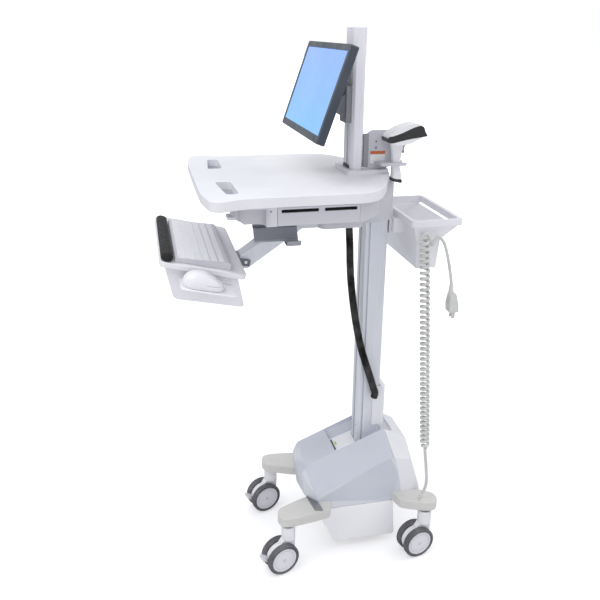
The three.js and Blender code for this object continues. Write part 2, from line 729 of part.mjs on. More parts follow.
// The box hangs from the underside of the tray. Its rear wall is notched for the hinge
// and its right wall has a slot for the runner of the mouse tray.
function storageBox() {
  const side = (inset, top) => outline([
    [-178 + inset, top], [-141 + inset, -95 + inset], [36 - inset, -91 + inset], [2 - inset, top],
  ], BOX_CORNER - inset);
  const half = 200;
  const walls = cut(prism('x', side(0, BOX_TOP), [-half, half]),
    prism('x', side(3, BOX_TOP + 16), [-half + 3, half - 3]));
  const hingeNotch = block([-44, 44], [-40, 60], [-46, 0]);
  const runnerSlot = block([190, 204], [-114, -46], [-40, -28]);
  return cut(walls, hingeNotch, runnerSlot);
}

function wristRest() {
  const side = outline([[-189, 0.4], [-161, 0.4], [-160, 12], [-166, 20], [-182, 21], [-190, 14]], 4);
  return prism('x', side, [-158, 219], 3);
}

function keyboard() {
  const side = outline([[-156, 0.4], [-20, 0.4], [-20, 15], [-26, 18], [-152, 10], [-156, 8]], 1.5);
  return prism('x', side, [-162, 206], 2);
}

function mouseTray() {
  const plate = slab(rectangle([206.5, 297], [-140, -8]), [-36, -33], 12, 3);
  const runner = block([150, 215], [-110, -50], [-36, -33]);
  return join(plate, runner);
}

function mouseTrayGuide() {
  const walls = [[-116, -111], [-49, -44]].map((range) => block([142, 196], range, [-39.6, -5.4]));
  const lips = [[-114, -104], [-56, -46]].map((range) => block([142, 196], range, [-39.6, -36.6]));
  return join(block([142, 196], [-116, -44], [-10, -5.4]), ...walls, ...lips);
}

const MOUSE_X = 262;

function mouseEnvelope(inset = 0) {
  const ring = (w, halfWidth, front, rear) => [
    [MOUSE_X - halfWidth + inset, front + 12, w], [MOUSE_X + halfWidth - inset, front + 12, w],
    [MOUSE_X - halfWidth * 0.6, front + inset, w], [MOUSE_X + halfWidth * 0.6, front + inset, w],
    [MOUSE_X - halfWidth + inset, rear - 18, w], [MOUSE_X + halfWidth - inset, rear - 18, w],
    [MOUSE_X - halfWidth * 0.6, rear - inset, w], [MOUSE_X + halfWidth * 0.6, rear - inset, w],
  ];
  return hull([
    ...ring(-32.4, 28, -134, -40), ...ring(-24, 31, -137, -37),
    [MOUSE_X - 24, -126, -4], [MOUSE_X + 24, -126, -4],
    [MOUSE_X - 16, -108, 6 - inset], [MOUSE_X + 16, -108, 6 - inset],
    [MOUSE_X - 22, -84, 2 - inset], [MOUSE_X + 22, -84, 2 - inset],
    [MOUSE_X - 24, -44, -14 - inset], [MOUSE_X + 24, -44, -14 - inset],
  ]);
}

const BUTTON_REAR = -84;

function mouseBody() {
  const shell = cut(mouseEnvelope(), block([200, 320], [BUTTON_REAR, 0], [-20, 40]));
  const wheelRoom = block([MOUSE_X - 4.5, MOUSE_X + 4.5], [-72, -50], [-34.5 + 4, 10]);
  return cut(shell, wheelRoom);
}

function mouseButton(side) {
  const range = side > 0 ? [MOUSE_X + 4.8, 320] : [200, MOUSE_X - 4.8];
  return mouseEnvelope().intersect(block(range, [BUTTON_REAR + 0.6, 0], [-19, 40]));
}

function mouseWheel() {
  return bar('x', 9.5, [MOUSE_X - 3.4, MOUSE_X + 3.4], [-61, -16.5], 16);
}

// ---------------------------------------------------------------- basket, cord and scanner

function basket() {
  const ring = (halfWidth, [front, rear], z) => [[halfWidth, front, z], [halfWidth, rear, z]];
  const tub = (inset) => hull(bothSides([
    ...ring(121 - inset, [172 + inset, 228 - inset], BASKET_FLOOR + inset),
    ...ring(130 - inset, [163 + inset, 232 - inset], 1014),
  ]));
  const flare = (inset, top) => hull(bothSides([
    ...ring(130 - inset, [163 + inset, 232 - inset], 1006),
    ...ring(139 - inset, [152 + inset, 280 - inset], top),
  ]));
  const rim = slab(rectangle([-145, 145], [144, 288]), [1044, BASKET_RIM_TOP], 14, 3);
  const mouth = slab(rectangle([-136, 136], [153, 277]), [1040, 1080], 10, 3);
  const mount = block([-40, 40], [131.6, 170], [1004, 1044]);
  const outside = join(tub(0), flare(0, 1046), rim, mount);
  const inside = join(tub(3), flare(3, 1046.5), mouth);
  const hook = join(
    block([134, 158], [176, 182], [1018, 1026]), block([154, 158], [176, 182], [1018, 1034]),
  );
  return cut(join(outside, hook), inside);
}

const COIL_TOP = [173.5, 168, 1032];
const COIL_BOTTOM = [164, 222, 360];
const COIL_RADIUS = 14.5;

// Envelope of the coiled cord: a straight sleeve, then the lead to its socket on the leg.
function coiledCord() {
  const start = new THREE.Vector3(...COIL_BOTTOM);
  const end = new THREE.Vector3(...COIL_TOP);
  const length = end.distanceTo(start);
  const sleeve = new THREE.CylinderGeometry(COIL_RADIUS, COIL_RADIUS, length, 16);
  const turn = new THREE.Quaternion().setFromUnitVectors(
    new THREE.Vector3(0, 1, 0), end.clone().sub(start).normalize());
  sleeve.applyQuaternion(turn);
  const middle = start.clone().add(end).multiplyScalar(0.5);
  sleeve.translate(middle.x, middle.y, middle.z);
  const lead = cord([
    [164, 222, 366], [165, 230, 306], [166, 235, 244], [163, 227, 208], [160, 216, 191],
  ], 4, 12);
  return join(toSolid(sleeve), lead);
}

function plugLead() {
  const lead = cord([
    [172, 192, 1004], [171, 204, 1026], [168, 224, 1010], [164, 246, 950], [160, 262, 884],
  ], 4, 14);
  const relief = bar('z', 8, [852, 886], [160, 262], 12, 5);
  const plugBody = hull([-15, 15].flatMap((dx) => [-13, 13].flatMap((dy) => [
    [160 + dx * 0.6, 266 + dy * 0.7, 858], [160 + dx, 268 + dy, 830], [160 + dx, 270 + dy, 806],
  ])));
  const blades = [-7, 7].map((dx) => block([160 + dx - 1, 160 + dx + 1], [266, 273], [786, 808]));
  const earth = bar('z', 2.4, [784, 808], [160, 277], 10);
  return join(lead, relief, plugBody, ...blades, earth);
}

const SCANNER_X = 60;

// The bracket stands beside the riser's path, so the riser can pass it when the head is low.
function scannerBracket() {
  const profile = outline([
    [42, 1192], [42, 1274], [58, 1284], [112, 1284], [116, 1276], [116, 1196], [104, 1184.6], [56, 1184.6],
  ], 6);
  const plate = prism('x', profile, [31, 37.5]);
  const foot = block([31, 39.4], [MAST_REAR + 0.4, 48], [1190, 1274]);
  const holder = slab([
    [32, 70], [37, 66], [78, 74], [82, 90], [82, 143], [38, 143], [38, 100], [32, 96],
  ], [1196, 1204], 3, 3);
  const throat = slab(rectangle([SCANNER_X - 13, SCANNER_X + 13], [101, 180]), [1150, 1250], 8, 3);
  return cut(join(plate, foot, holder), throat);
}

// The scanner stands in its holder: a wide head on a slim grip with a heavier butt.
function scannerBody() {
  const x = SCANNER_X;
  const pair = (half, y, z) => [[x - half, y, z], [x + half, y, z]];
  const head = hull([
    ...pair(20, 92, 1258), ...pair(24, 132, 1252), ...pair(28, 176, 1270), ...pair(28, 184, 1284),
    ...pair(17, 86, 1270), ...pair(20, 108, 1294), ...pair(25, 164, 1302), ...pair(25, 176, 1300),
  ]);
  const grip = hull([
    ...pair(10, 101, 1262), ...pair(10, 137, 1262), ...pair(9, 107.5, 1204), ...pair(9, 129, 1204),
  ]);
  const butt = hull([
    ...pair(9, 107.5, 1206), ...pair(9, 129, 1206), ...pair(14, 107.5, 1160), ...pair(14, 136, 1151),
    ...pair(14, 107.5, 1166), ...pair(14, 136, 1160),
  ]);
  const triggerRoom = block([x - 5, x + 5], [125, 150], [1224, 1251]);
  return cut(join(head, grip, butt), triggerRoom);
}

function scannerTrigger() {
  const side = outline([[129, 1227], [129, 1248], [142, 1248], [138, 1238], [140, 1227]], 2);
  return prism('x', side, [SCANNER_X - 4.4, SCANNER_X + 4.4]);
}

function hose() {
  return cord([
    [22, 6, 1050], [30, 9, 980], [37, 12, 890], [42, 25, 780], [44, 47, 670], [45, 82, 560], [45, 104, 492],
  ], 11, 14, 8);
}

// ---------------------------------------------------------------- assembly

piece(cart, 'base_frame', baseFrame(), CAST_ALLOY);
piece(cart, 'base_cover', baseCover(), BLUE_GREY_ABS);
piece(cart, 'rear_cover', rearCover(), WHITE_ABS);
piece(cart, 'column_plate', columnPlate(), WHITE_ABS);
piece(cart, 'leg_trim_right', legTrim(1), DARK_STEEL);
piece(cart, 'leg_trim_left', legTrim(-1), DARK_STEEL);
piece(cart, 'battery_box', batteryBox(), PALE_ABS);
piece(cart, 'battery_pack', block([-92, 92], [-6, 140], [BATTERY_BOX_BOTTOM + 4.4, 128]), DARK_PLASTIC);
piece(cart, 'power_module', block([-62, 62], [-72, 26], [PLATE_TOP + 0.4, 262]), DARK_STEEL);

piece(cart, 'riser', prism('z', riserSection(), [RISER_FOOT_TOP + 0.3, RISER_TOP]), ALLOY);
piece(cart, 'cable_inlet_cover', inletCover(), WHITE_ABS);
piece(cart, 'gas_spring_cylinder', cut(
  bar('z', 11, [RISER_FOOT_TOP + 0.6, GAS_CYLINDER_TOP], [0, 86], 20),
  bar('z', 7.6, [RISER_FOOT_TOP + 8, GAS_CYLINDER_TOP + 10], [0, 86], 16)), DARK_STEEL);
piece(cart, 'gas_spring_rod', bar('z', 5, [626, 1119.5], [0, 86], 16), BRIGHT_STEEL);

function addCaster(corner, side, stem, hasBrake) {
  const caster = new THREE.Group();
  caster.position.set(side * stem.x, stem.y, 0);
  caster.rotation.z = stem.swivel;
  cart.add(caster);
  piece(caster, `caster_${corner}`, casterHousing(), WHITE_ABS);
  piece(caster, `wheel_${corner}_a`, wheel(1), TYRE);
  piece(caster, `wheel_${corner}_b`, wheel(-1), TYRE);
  if (hasBrake) {
    piece(caster, `brake_pedal_${side > 0 ? 'right' : 'left'}`, brakePedal(), PALE_ABS);
  }
}

addCaster('front_right', 1, FRONT_STEM, true);
addCaster('front_left', -1, FRONT_STEM, true);
addCaster('rear_right', 1, REAR_STEM, false);
addCaster('rear_left', -1, REAR_STEM, false);

piece(cart, 'head_body', headBody(), PALE_ABS);
piece(cart, 'worksurface', worksurface(), WHITE_ABS);
piece(cart, 'side_panel_right', sidePanel(1), PALE_ABS);
piece(cart, 'side_panel_left', sidePanel(-1), PALE_ABS);
piece(cart, 'cable_tray', cableTray(), DARK_STEEL);
piece(cart, 'lift_release_lever', releaseLever(), WHITE_ABS);
piece(cart, 'hose', hose(), SOFT_BLACK);

piece(cart, 'display_column', mast(), ALLOY);
piece(cart, 'display_carriage', displayCarriage(), DARK_STEEL);
piece(cart, 'display_tilt_plate', tiltPlate(), DARK_STEEL);
const display = new THREE.Group();
display.position.set(0, DISPLAY_CENTRE.y, DISPLAY_CENTRE.z);
display.rotation.x = DISPLAY_LEAN;
cart.add(display);
piece(display, 'display_shell', displayShell(), BEZEL);
piece(display, 'display_screen', screen(), SCREEN_GLASS);
piece(display, 'display_power_button', powerButton(), BEZEL);

piece(cart, 'tray_arm', trayArm(), ALLOY);
piece(cart, 'arm_pin_head', armPin(ARM_HEAD_PIVOT), BRIGHT_STEEL);
piece(cart, 'arm_pin_tray', armPin(ARM_TRAY_PIVOT), BRIGHT_STEEL);
const tray = new THREE.Group();
tray.position.set(0, TRAY_ORIGIN.y, TRAY_ORIGIN.z);
tray.rotation.x = TRAY_LEAN;
cart.add(tray);
piece(tray, 'tray_hinge', trayHinge(), DARK_STEEL);
piece(tray, 'keyboard_tray', trayDeck(), WHITE_ABS);
piece(tray, 'storage_box', storageBox(), WHITE_ABS);
piece(tray, 'wrist_rest', wristRest(), SOFT_BLACK);
piece(tray, 'keyboard', keyboard(), PALE_ABS);
piece(tray, 'mouse_tray_guide', mouseTrayGuide(), DARK_STEEL);
piece(tray, 'mouse_tray', mouseTray(), WHITE_ABS);
piece(tray, 'mouse_body', mouseBody(), WHITE_ABS);
piece(tray, 'mouse_button_right', mouseButton(1), WHITE_ABS);
piece(tray, 'mouse_button_left', mouseButton(-1), WHITE_ABS);
piece(tray, 'mouse_wheel', mouseWheel(), SOFT_BLACK);

piece(cart, 'basket', basket(), WHITE_ABS);
piece(cart, 'coiled_cord', coiledCord(), CORD_GREY);
piece(cart, 'plug_lead', plugLead(), CORD_GREY);
piece(cart, 'scanner_bracket', scannerBracket(), PALE_ABS);
piece(cart, 'scanner_body', scannerBody(), WHITE_ABS);
piece(cart, 'scanner_trigger', scannerTrigger(), DARK_PLASTIC);

cart.position.y = -MIDDLE_OF_CART;

export default cart;
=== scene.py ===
"""Looks of a powered, height-adjustable hospital computer cart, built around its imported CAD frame.

Metres, +Z up. The user stands on the -Y side and +X is the user's right-hand side.
"""

import json
import math

import bmesh
import bpy
from mathutils import Matrix, Vector


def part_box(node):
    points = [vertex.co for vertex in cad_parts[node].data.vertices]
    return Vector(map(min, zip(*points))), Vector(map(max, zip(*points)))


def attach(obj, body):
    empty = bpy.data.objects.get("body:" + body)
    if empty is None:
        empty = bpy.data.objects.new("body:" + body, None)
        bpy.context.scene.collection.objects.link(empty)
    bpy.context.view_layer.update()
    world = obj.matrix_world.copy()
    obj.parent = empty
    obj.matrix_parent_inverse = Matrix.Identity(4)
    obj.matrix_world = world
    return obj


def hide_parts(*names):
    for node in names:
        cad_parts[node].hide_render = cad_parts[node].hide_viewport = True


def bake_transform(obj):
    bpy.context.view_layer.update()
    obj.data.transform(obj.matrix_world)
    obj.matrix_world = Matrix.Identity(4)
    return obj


MM = 0.001
PLATE_THICKNESS = 4 * MM
BARREL_TOP = 150 * MM  # height of a caster's barrel above the floor
BEARING_TOP = 157.4 * MM  # height of the dark bearing on the barrel
HUB_SHARE = 0.79  # hub radius as a share of the tyre's
BRACKET_FACE = 37.5 * MM  # X of the scanner bracket's right face
IDENTITY = Matrix.Identity(3)
SIDES = ("right", "left")
WHITE = (1.0, 1.0, 1.0, 1.0)

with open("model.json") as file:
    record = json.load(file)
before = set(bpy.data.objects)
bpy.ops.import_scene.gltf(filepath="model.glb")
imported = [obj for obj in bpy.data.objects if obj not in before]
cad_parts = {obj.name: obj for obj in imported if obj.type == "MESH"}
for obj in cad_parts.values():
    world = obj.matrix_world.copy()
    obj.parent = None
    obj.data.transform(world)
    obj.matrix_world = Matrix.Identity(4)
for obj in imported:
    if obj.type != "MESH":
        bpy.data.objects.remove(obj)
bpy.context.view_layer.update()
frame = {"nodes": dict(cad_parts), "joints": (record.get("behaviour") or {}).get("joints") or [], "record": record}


RECORD = frame["record"]
SLOT_OF_NODE = {entry["node"]: entry["material_slot"] for entry in RECORD["subparts"]}
BODY_OF_NODE = {node: body for body, nodes in RECORD["behaviour"]["bodies"].items() for node in nodes}


def joint(name):
    return next(entry for entry in frame["joints"] if entry["name"] == name)


def turned_axes(direction, which):
    """Axes turned about X, given where their own Y or Z points."""
    x = Vector((1, 0, 0))
    if which == "y":
        y = Vector(direction).normalized()
        z = x.cross(y)
    else:
        z = Vector(direction).normalized()
        y = z.cross(x)
    return Matrix((x, y, z)).transposed()


def axle_frame(name):
    """Placement with its origin on a wheel axle, X along the axle and Z up."""
    entry = joint(name)
    x = Vector(entry["axis"]).normalized()
    z = Vector((0, 0, 1))
    turn = Matrix((x, z.cross(x), z)).transposed().to_4x4()
    return Matrix.Translation(entry["pos_m"]) @ turn


TRAY = turned_axes([-value for value in joint("mouse_click_right")["axis"]], "z")
DISPLAY = turned_axes(joint("power_press")["axis"], "y")


def box_through(node, transform):
    """Lowest and highest corners of a CAD node whose points pass through a transform first."""
    points = [transform @ vertex.co for vertex in frame["nodes"][node].data.vertices]
    low = Vector([min(point[i] for point in points) for i in range(3)])
    high = Vector([max(point[i] for point in points) for i in range(3)])
    return low, high


def local_box(node, axes):
    """Lowest and highest corners of a CAD node, measured along the given axes."""
    return box_through(node, axes.transposed())


def placed_box(node, placement):
    """Lowest and highest corners of a CAD node in the coordinates of a placement."""
    return box_through(node, placement.inverted())


def section(node, axis, value):
    """Points where the edges of a CAD node cross one height along an axis."""
    mesh = frame["nodes"][node].data
    points = []
    for edge in mesh.edges:
        a, b = (mesh.vertices[index].co for index in edge.vertices)
        if (a[axis] - value) * (b[axis] - value) < 0:
            points.append(a.lerp(b, (value - a[axis]) / (b[axis] - a[axis])))
    return points


def slice_centre(node, axis, value):
    """Middle of a CAD node's section at one height along an axis."""
    points = section(node, axis, value)
    return Vector([(min(p[i] for p in points) + max(p[i] for p in points)) / 2 for i in range(3)])


def section_width(node, height):
    """Width along X of a CAD node at one height, or 0 where the node isn't there."""
    xs = [point.x for point in section(node, 2, height)]
    return max(xs) - min(xs) if xs else 0.0


# ---- materials


def linear(red, green, blue):
    """An 8-bit display colour as the linear colour that the shader wants."""
    def channel(value):
        share = value / 255
        return share / 12.92 if share <= 0.04045 else ((share + 0.055) / 1.055) ** 2.4
    return (channel(red), channel(green), channel(blue), 1.0)


class Nodes:
    """A small helper that adds and links the nodes of one tree."""

    def __init__(self, owner):
        owner.use_nodes = True
        self.tree = owner.node_tree

    def add(self, kind, **inputs):
        node = self.tree.nodes.new(kind)
        for key, value in inputs.items():
            node.inputs[key.replace("_", " ")].default_value = value
        return node

    def link(self, source, target):
        self.tree.links.new(source, target)

    def feed(self, socket, value):
        """Sets a socket to a plain value, or links it to another node's output."""
        if isinstance(value, (tuple, float)):
            socket.default_value = value
        else:
            self.link(value, socket)


class Shader(Nodes):
    """The nodes of one material, and what the materials have in common."""

    def __init__(self, name):
        self.material = bpy.data.materials.new(name)
        super().__init__(self.material)
        self.surface = self.tree.nodes["Principled BSDF"]
        self.place = self.add("ShaderNodeTexCoord").outputs["Object"]

    def noise(self, scale, detail=3.0, stretch=(1, 1, 1)):
        mapping = self.add("ShaderNodeMapping", Scale=stretch)
        self.link(self.place, mapping.inputs["Vector"])
        texture = self.add("ShaderNodeTexNoise", Scale=scale, Detail=detail)
        self.link(mapping.outputs["Vector"], texture.inputs["Vector"])
        return texture.outputs["Fac"]

    def ramp(self, source, low=0.0, high=1.0, start=0.35, end=0.65):
        node = self.add("ShaderNodeMapRange", From_Min=start, From_Max=end, To_Min=low, To_Max=high)
        self.link(source, node.inputs["Value"])
        return node.outputs["Result"]

    def blend(self, factor, first, second):
        node = self.tree.nodes.new("ShaderNodeMix")
        node.data_type = "RGBA"
        for socket, value in (("Factor", factor), (6, first), (7, second)):
            self.feed(node.inputs[socket], value)
        return node.outputs[2]

    def bump(self, height, strength, distance, before=None):
        node = self.add("ShaderNodeBump", Strength=strength, Distance=distance)
        self.link(height, node.inputs["Height"])
        if before is not None:
            self.link(before, node.inputs["Normal"])
        return node.outputs["Normal"]

    def edges(self, spread=0.03):
        """1 on worn convex edges, 0 elsewhere."""
        geometry = self.add("ShaderNodeNewGeometry")
        return self.ramp(geometry.outputs["Pointiness"], 0.0, 1.0, 0.5 + spread, 0.5 + 3 * spread)

    def finish(self, colour, roughness, normal=None, **settings):
        for socket, value in (("Base Color", colour), ("Roughness", roughness)):
            self.feed(self.surface.inputs[socket], value)
        if normal is not None:
            self.link(normal, self.surface.inputs["Normal"])
        for key, value in settings.items():
            self.surface.inputs[key.replace("_", " ")].default_value = value
        return self.material


def lighter(colour, share):
    return tuple(value + (1 - value) * share for value in colour[:3]) + (1.0,)


def darker(colour, share):
    return tuple(value * (1 - share) for value in colour[:3]) + (1.0,)


def moulded(name, colour, roughness=0.42, grain=0.12, wear=0.25):
    """Moulded plastic: fine spark texture, slight tone drift and paler worn edges."""
    shader = Shader(name)
    drift = shader.ramp(shader.noise(7, 2))
    tone = shader.blend(drift, darker(colour, 0.035), lighter(colour, 0.03))
    worn = shader.blend(shader.edges(), tone, lighter(colour, wear))
    texture = shader.bump(shader.noise(1500, 2), grain, 0.0002)
    waves = shader.bump(shader.noise(18, 2), 0.05, 0.0015, texture)
    gloss = shader.ramp(shader.noise(40, 3), roughness - 0.05, roughness + 0.06)
    return shader.finish(worn, gloss, waves)


def anodised(name, colour, metal=0.45, roughness=0.36):
    """Drawn aluminium: fine streaks along Z under a satin anodised skin."""
    shader = Shader(name)
    streaks = shader.noise(420, 3, (1, 1, 0.02))
    tone = shader.blend(shader.ramp(streaks), darker(colour, 0.05), lighter(colour, 0.05))
    gloss = shader.ramp(streaks, roughness - 0.06, roughness + 0.08)
    normal = shader.bump(streaks, 0.08, 0.0002)
    return shader.finish(tone, gloss, normal, Metallic=metal)


def powder_coat(name, colour, metal=0.0, roughness=0.4, peel=0.2):
    """Powder-coated metal with a slight orange peel and rubbed edges."""
    shader = Shader(name)
    drift = shader.ramp(shader.noise(9, 3))
    tone = shader.blend(drift, darker(colour, 0.05), lighter(colour, 0.03))
    worn = shader.blend(shader.edges(), tone, lighter(colour, 0.2))
    normal = shader.bump(shader.noise(520, 2), peel, 0.0003)
    gloss = shader.ramp(shader.noise(60, 3), roughness - 0.06, roughness + 0.08)
    return shader.finish(worn, gloss, normal, Metallic=metal)


def ground_steel(name):
    shader = Shader(name)
    lines = shader.noise(900, 2, (1, 0.05, 0.05))
    tone = shader.blend(shader.ramp(lines), linear(170, 172, 176), linear(214, 215, 218))
    return shader.finish(tone, shader.ramp(lines, 0.2, 0.34), shader.bump(lines, 0.1, 0.0001), Metallic=1.0)


def tyre_rubber(name, colour):
    """Grey polyurethane: matt, slightly dusty and mottled."""
    shader = Shader(name)
    dust = shader.ramp(shader.noise(30, 5), 0.0, 1.0, 0.42, 0.7)
    tone = shader.blend(dust, darker(colour, 0.12), lighter(colour, 0.06))
    normal = shader.bump(shader.noise(700, 3), 0.25, 0.0003)
    return shader.finish(tone, shader.ramp(shader.noise(80, 3), 0.6, 0.78), normal)


def soft_vinyl(name, colour):
    """Soft embossed vinyl skin of the wrist rest, with a leather-like cell pattern."""
    shader = Shader(name)
    cells = shader.add("ShaderNodeTexVoronoi", Scale=620.0)
    cells.feature = "DISTANCE_TO_EDGE"
    shader.link(shader.place, cells.inputs["Vector"])
    height = shader.ramp(cells.outputs["Distance"], 0.0, 1.0, 0.0, 0.25)
    # Darker in the low grooves between cells: painted shade in the emboss.
    tone = shader.blend(height, darker(colour, 0.3), lighter(colour, 0.02))
    folds = shader.bump(shader.noise(45, 3), 0.15, 0.002)
    normal = shader.bump(height, 0.35, 0.0004, folds)
    return shader.finish(tone, shader.ramp(shader.noise(120, 3), 0.5, 0.66), normal, Specular_IOR_Level=0.25)


def cable_jacket(name, colour, roughness=0.45, shine=0.5):
    shader = Shader(name)
    drift = shader.ramp(shader.noise(25, 3))
    tone = shader.blend(drift, darker(colour, 0.08), lighter(colour, 0.06))
    normal = shader.bump(shader.noise(900, 2), 0.12, 0.0002)
    gloss = shader.ramp(shader.noise(70, 2), roughness - 0.06, roughness + 0.08)
    return shader.finish(tone, gloss, normal, Specular_IOR_Level=shine)


def lit_screen(name):
    """Screen that shows a plain blue gradient, under glass."""
    shader = Shader(name)
    low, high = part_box("display_screen")
    place = shader.add("ShaderNodeSeparateXYZ")
    shader.link(shader.place, place.inputs["Vector"])
    rise = shader.ramp(place.outputs["Z"], 0.0, 1.0, low.z, high.z)
    glow = shader.blend(rise, linear(124, 192, 242), linear(134, 176, 252))
    drift = shader.ramp(shader.noise(5, 2), 0.0, 0.25, 0.4, 0.8)
    shader.link(shader.blend(drift, glow, linear(176, 212, 255)), shader.surface.inputs["Emission Color"])
    gloss = shader.ramp(shader.noise(50, 2), 0.22, 0.3)
    return shader.finish(linear(18, 30, 60), gloss, Emission_Strength=0.95, Coat_Weight=0.15)


def label_print(name, colour, other):
    """Blank printed label, unevenly printed between two display colours."""
    shader = Shader(name)
    tone = shader.blend(shader.ramp(shader.noise(160, 3)), linear(*colour), linear(*other))
    return shader.finish(tone, 0.45, shader.bump(shader.noise(1200, 2), 0.08, 0.0001))


SLOTS = {name: recipe(name, *settings) for name, recipe, *settings in (
    ("white_plastic", moulded, linear(233, 233, 238)),
    ("pale_plastic", moulded, linear(200, 200, 208)),
    ("blue_grey_plastic", moulded, linear(201, 205, 216)),
    ("cast_base", powder_coat, linear(212, 211, 208), 0.1, 0.34),
    ("column", anodised, linear(222, 225, 233), 0.15),
    ("dark_steel", powder_coat, linear(96, 99, 108), 0.3),
    ("bright_steel", ground_steel),
    ("dark_plastic", moulded, linear(44, 46, 51), 0.45, 0.12, 0.08),
    ("display_plastic", moulded, linear(50, 60, 74), 0.34, 0.06, 0.06),
    ("screen", lit_screen),
    ("tyre", tyre_rubber, linear(92, 92, 97)),
    ("soft_black", soft_vinyl, linear(24, 24, 26)),
    ("cord_grey", cable_jacket, linear(208, 209, 206)),
)}
HOSE_RUBBER = cable_jacket("hose_rubber", linear(4, 4, 5), 0.55, 0.18)
# Near-black painted shade for the dark inside of the head panel slots and the display vents.
SLOT_SHADE = moulded("slot_shade", linear(3, 3, 4), 0.9, 0.02, 0.0)
# Painted shade for the dark gap where each leg meets the cover, used on the leg trims.
GROOVE_SHADE = powder_coat("groove_shade", linear(104, 107, 114), 0.1, 0.5, 0.4)
HUB_PLASTIC = moulded("hub_plastic", linear(220, 219, 227), 0.38)
TRAY_STEEL = powder_coat("tray_steel", linear(138, 141, 151), 0.35, 0.36)
BOX_WHITE = moulded("box_white", linear(246, 246, 249))
MAST_SKIN = anodised("mast_skin", linear(238, 238, 246), 0.0, 0.4)
WINDOW_DARK = moulded("window_dark", linear(16, 17, 20), 0.3, 0.05, 0.02)
LABEL_WHITE = label_print("label_white", (238, 238, 238), (228, 229, 231))
LABEL_ORANGE = label_print("label_orange", (196, 92, 38), (206, 112, 60))
LABEL_DARK = label_print("label_dark", (70, 74, 78), (96, 100, 104))
LABEL_LIME = label_print("label_lime", (190, 206, 96), (204, 216, 128))
RUBBER_DARK = cable_jacket("rubber_dark", linear(30, 31, 33), 0.55)
KEYCAP = moulded("keycap", linear(228, 229, 234), 0.4, 0.1)


# ---- building pieces


def in_scene(name, data):
    """A new object in the scene that holds the data."""
    holder = bpy.data.objects.new(name, data)
    bpy.context.scene.collection.objects.link(holder)
    return holder


def show(bm, name, body, material, slot=None, sharp=34, nodes=(), flat_weight=True):
    """Turns a bmesh into a shown piece that rides on a CAD body.

    The name of a slot as the material means that slot's own material.
    """
    if isinstance(material, str):
        slot, material = material, SLOTS[material]
    mesh = bpy.data.meshes.new(name)
    bmesh.ops.recalc_face_normals(bm, faces=bm.faces)
    bm.to_mesh(mesh)
    bm.free()
    for face in mesh.polygons:
        face.use_smooth = True
    mesh.set_sharp_from_angle(angle=math.radians(sharp))
    piece = in_scene(name, mesh)
    mesh.materials.append(material)
    if flat_weight:
        weighted = piece.modifiers.new("even_normals", "WEIGHTED_NORMAL")
        weighted.keep_sharp = True
    if body is not None:
        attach(piece, body)
    if nodes:
        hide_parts(*nodes)
    return piece


def from_node(node):
    """A CAD node as a bmesh with its flat faces whole again."""
    bm = bmesh.new()
    bm.from_mesh(frame["nodes"][node].data)
    bmesh.ops.remove_doubles(bm, verts=bm.verts, dist=2e-6)
    bmesh.ops.dissolve_limit(bm, angle_limit=math.radians(0.5), verts=bm.verts, edges=bm.edges)
    return bm


def round_edges(bm, width, segments=3, angle=40):
    """Rounds every edge that turns by more than the angle."""
    edges = [edge for edge in bm.edges if edge.is_manifold and edge.calc_face_angle() > math.radians(angle)]
    bmesh.ops.bevel(bm, geom=edges, offset=width, offset_type="OFFSET", segments=segments,
                    profile=0.5, affect="EDGES", clamp_overlap=True)
    return bm


def refined(node, width, segments=3, angle=40, material=None):
    """The CAD node's own shape with rounded edges and its material."""
    bm = round_edges(from_node(node), width, segments, angle)
    slot = SLOT_OF_NODE[node]
    show(bm, node + "_skin", BODY_OF_NODE[node], material or SLOTS[slot], slot, nodes=[node])


def refine(*rows):
    """Refines CAD nodes, from rows of the node, the rounding in millimetres and other settings."""
    for node, width, *settings in rows:
        refined(node, width * MM, *settings)


def stitched(bm, rings, around=False):
    """Skin over rings of vertices, which is capped at both ends or runs around to its start."""
    following = rings[1:] + rings[:1] if around else rings[1:]
    for first, second in zip(rings, following):
        for i in range(len(first)):
            j = (i + 1) % len(first)
            bm.faces.new((first[i], first[j], second[j], second[i]))
    if not around:
        bm.faces.new(rings[0][::-1])
        bm.faces.new(rings[-1])
    return bm


def angles(count):
    return [2 * math.pi * i / count for i in range(count)]


def squarish(angle, power, power_v=None):
    """Point at an angle of a unit circle that lower powers draw out into a square."""
    cosine, sine = math.cos(angle), math.sin(angle)
    return math.copysign(abs(cosine) ** power, cosine), math.copysign(abs(sine) ** (power_v or power), sine)


def turned(profile, centre, axis="x", segments=64):
    """A closed profile of (radius, distance along the axis) turned round the axis through the centre."""
    bm = bmesh.new()
    rings = []
    for radius, along in profile:
        ring = []
        for angle in angles(segments):
            u, v = radius * math.cos(angle), radius * math.sin(angle)
            offset = {"x": (along, u, v), "y": (u, along, v), "z": (u, v, along)}[axis]
            ring.append(bm.verts.new(Vector(centre) + Vector(offset)))
        rings.append(ring)
    return stitched(bm, rings, around=True)


def prism(outline, start, end, axes=IDENTITY, plane="yz"):
    """A flat outline pushed from start to end. The plane names the outline's two directions."""
    bm = bmesh.new()
    def place(u, v, depth):
        point = {"yz": (depth, u, v), "xz": (u, depth, v), "xy": (u, v, depth)}[plane]
        return axes @ Vector(point)
    low = [bm.verts.new(place(u, v, start)) for u, v in outline]
    high = [bm.verts.new(place(u, v, end)) for u, v in outline]
    bm.faces.new(low)
    bm.faces.new(high[::-1])
    for i in range(len(outline)):
        j = (i + 1) % len(outline)
        bm.faces.new((low[i], high[i], high[j], low[j]))
    return bm


def block(low, high, axes=IDENTITY):
    corners = [(low[0], low[1]), (high[0], low[1]), (high[0], high[1]), (low[0], high[1])]
    return prism(corners, low[2], high[2], axes, "xy")


def rounded_box(low, high, radius, segments=3, axes=IDENTITY):
    return round_edges(block(low, high, axes), radius, segments)


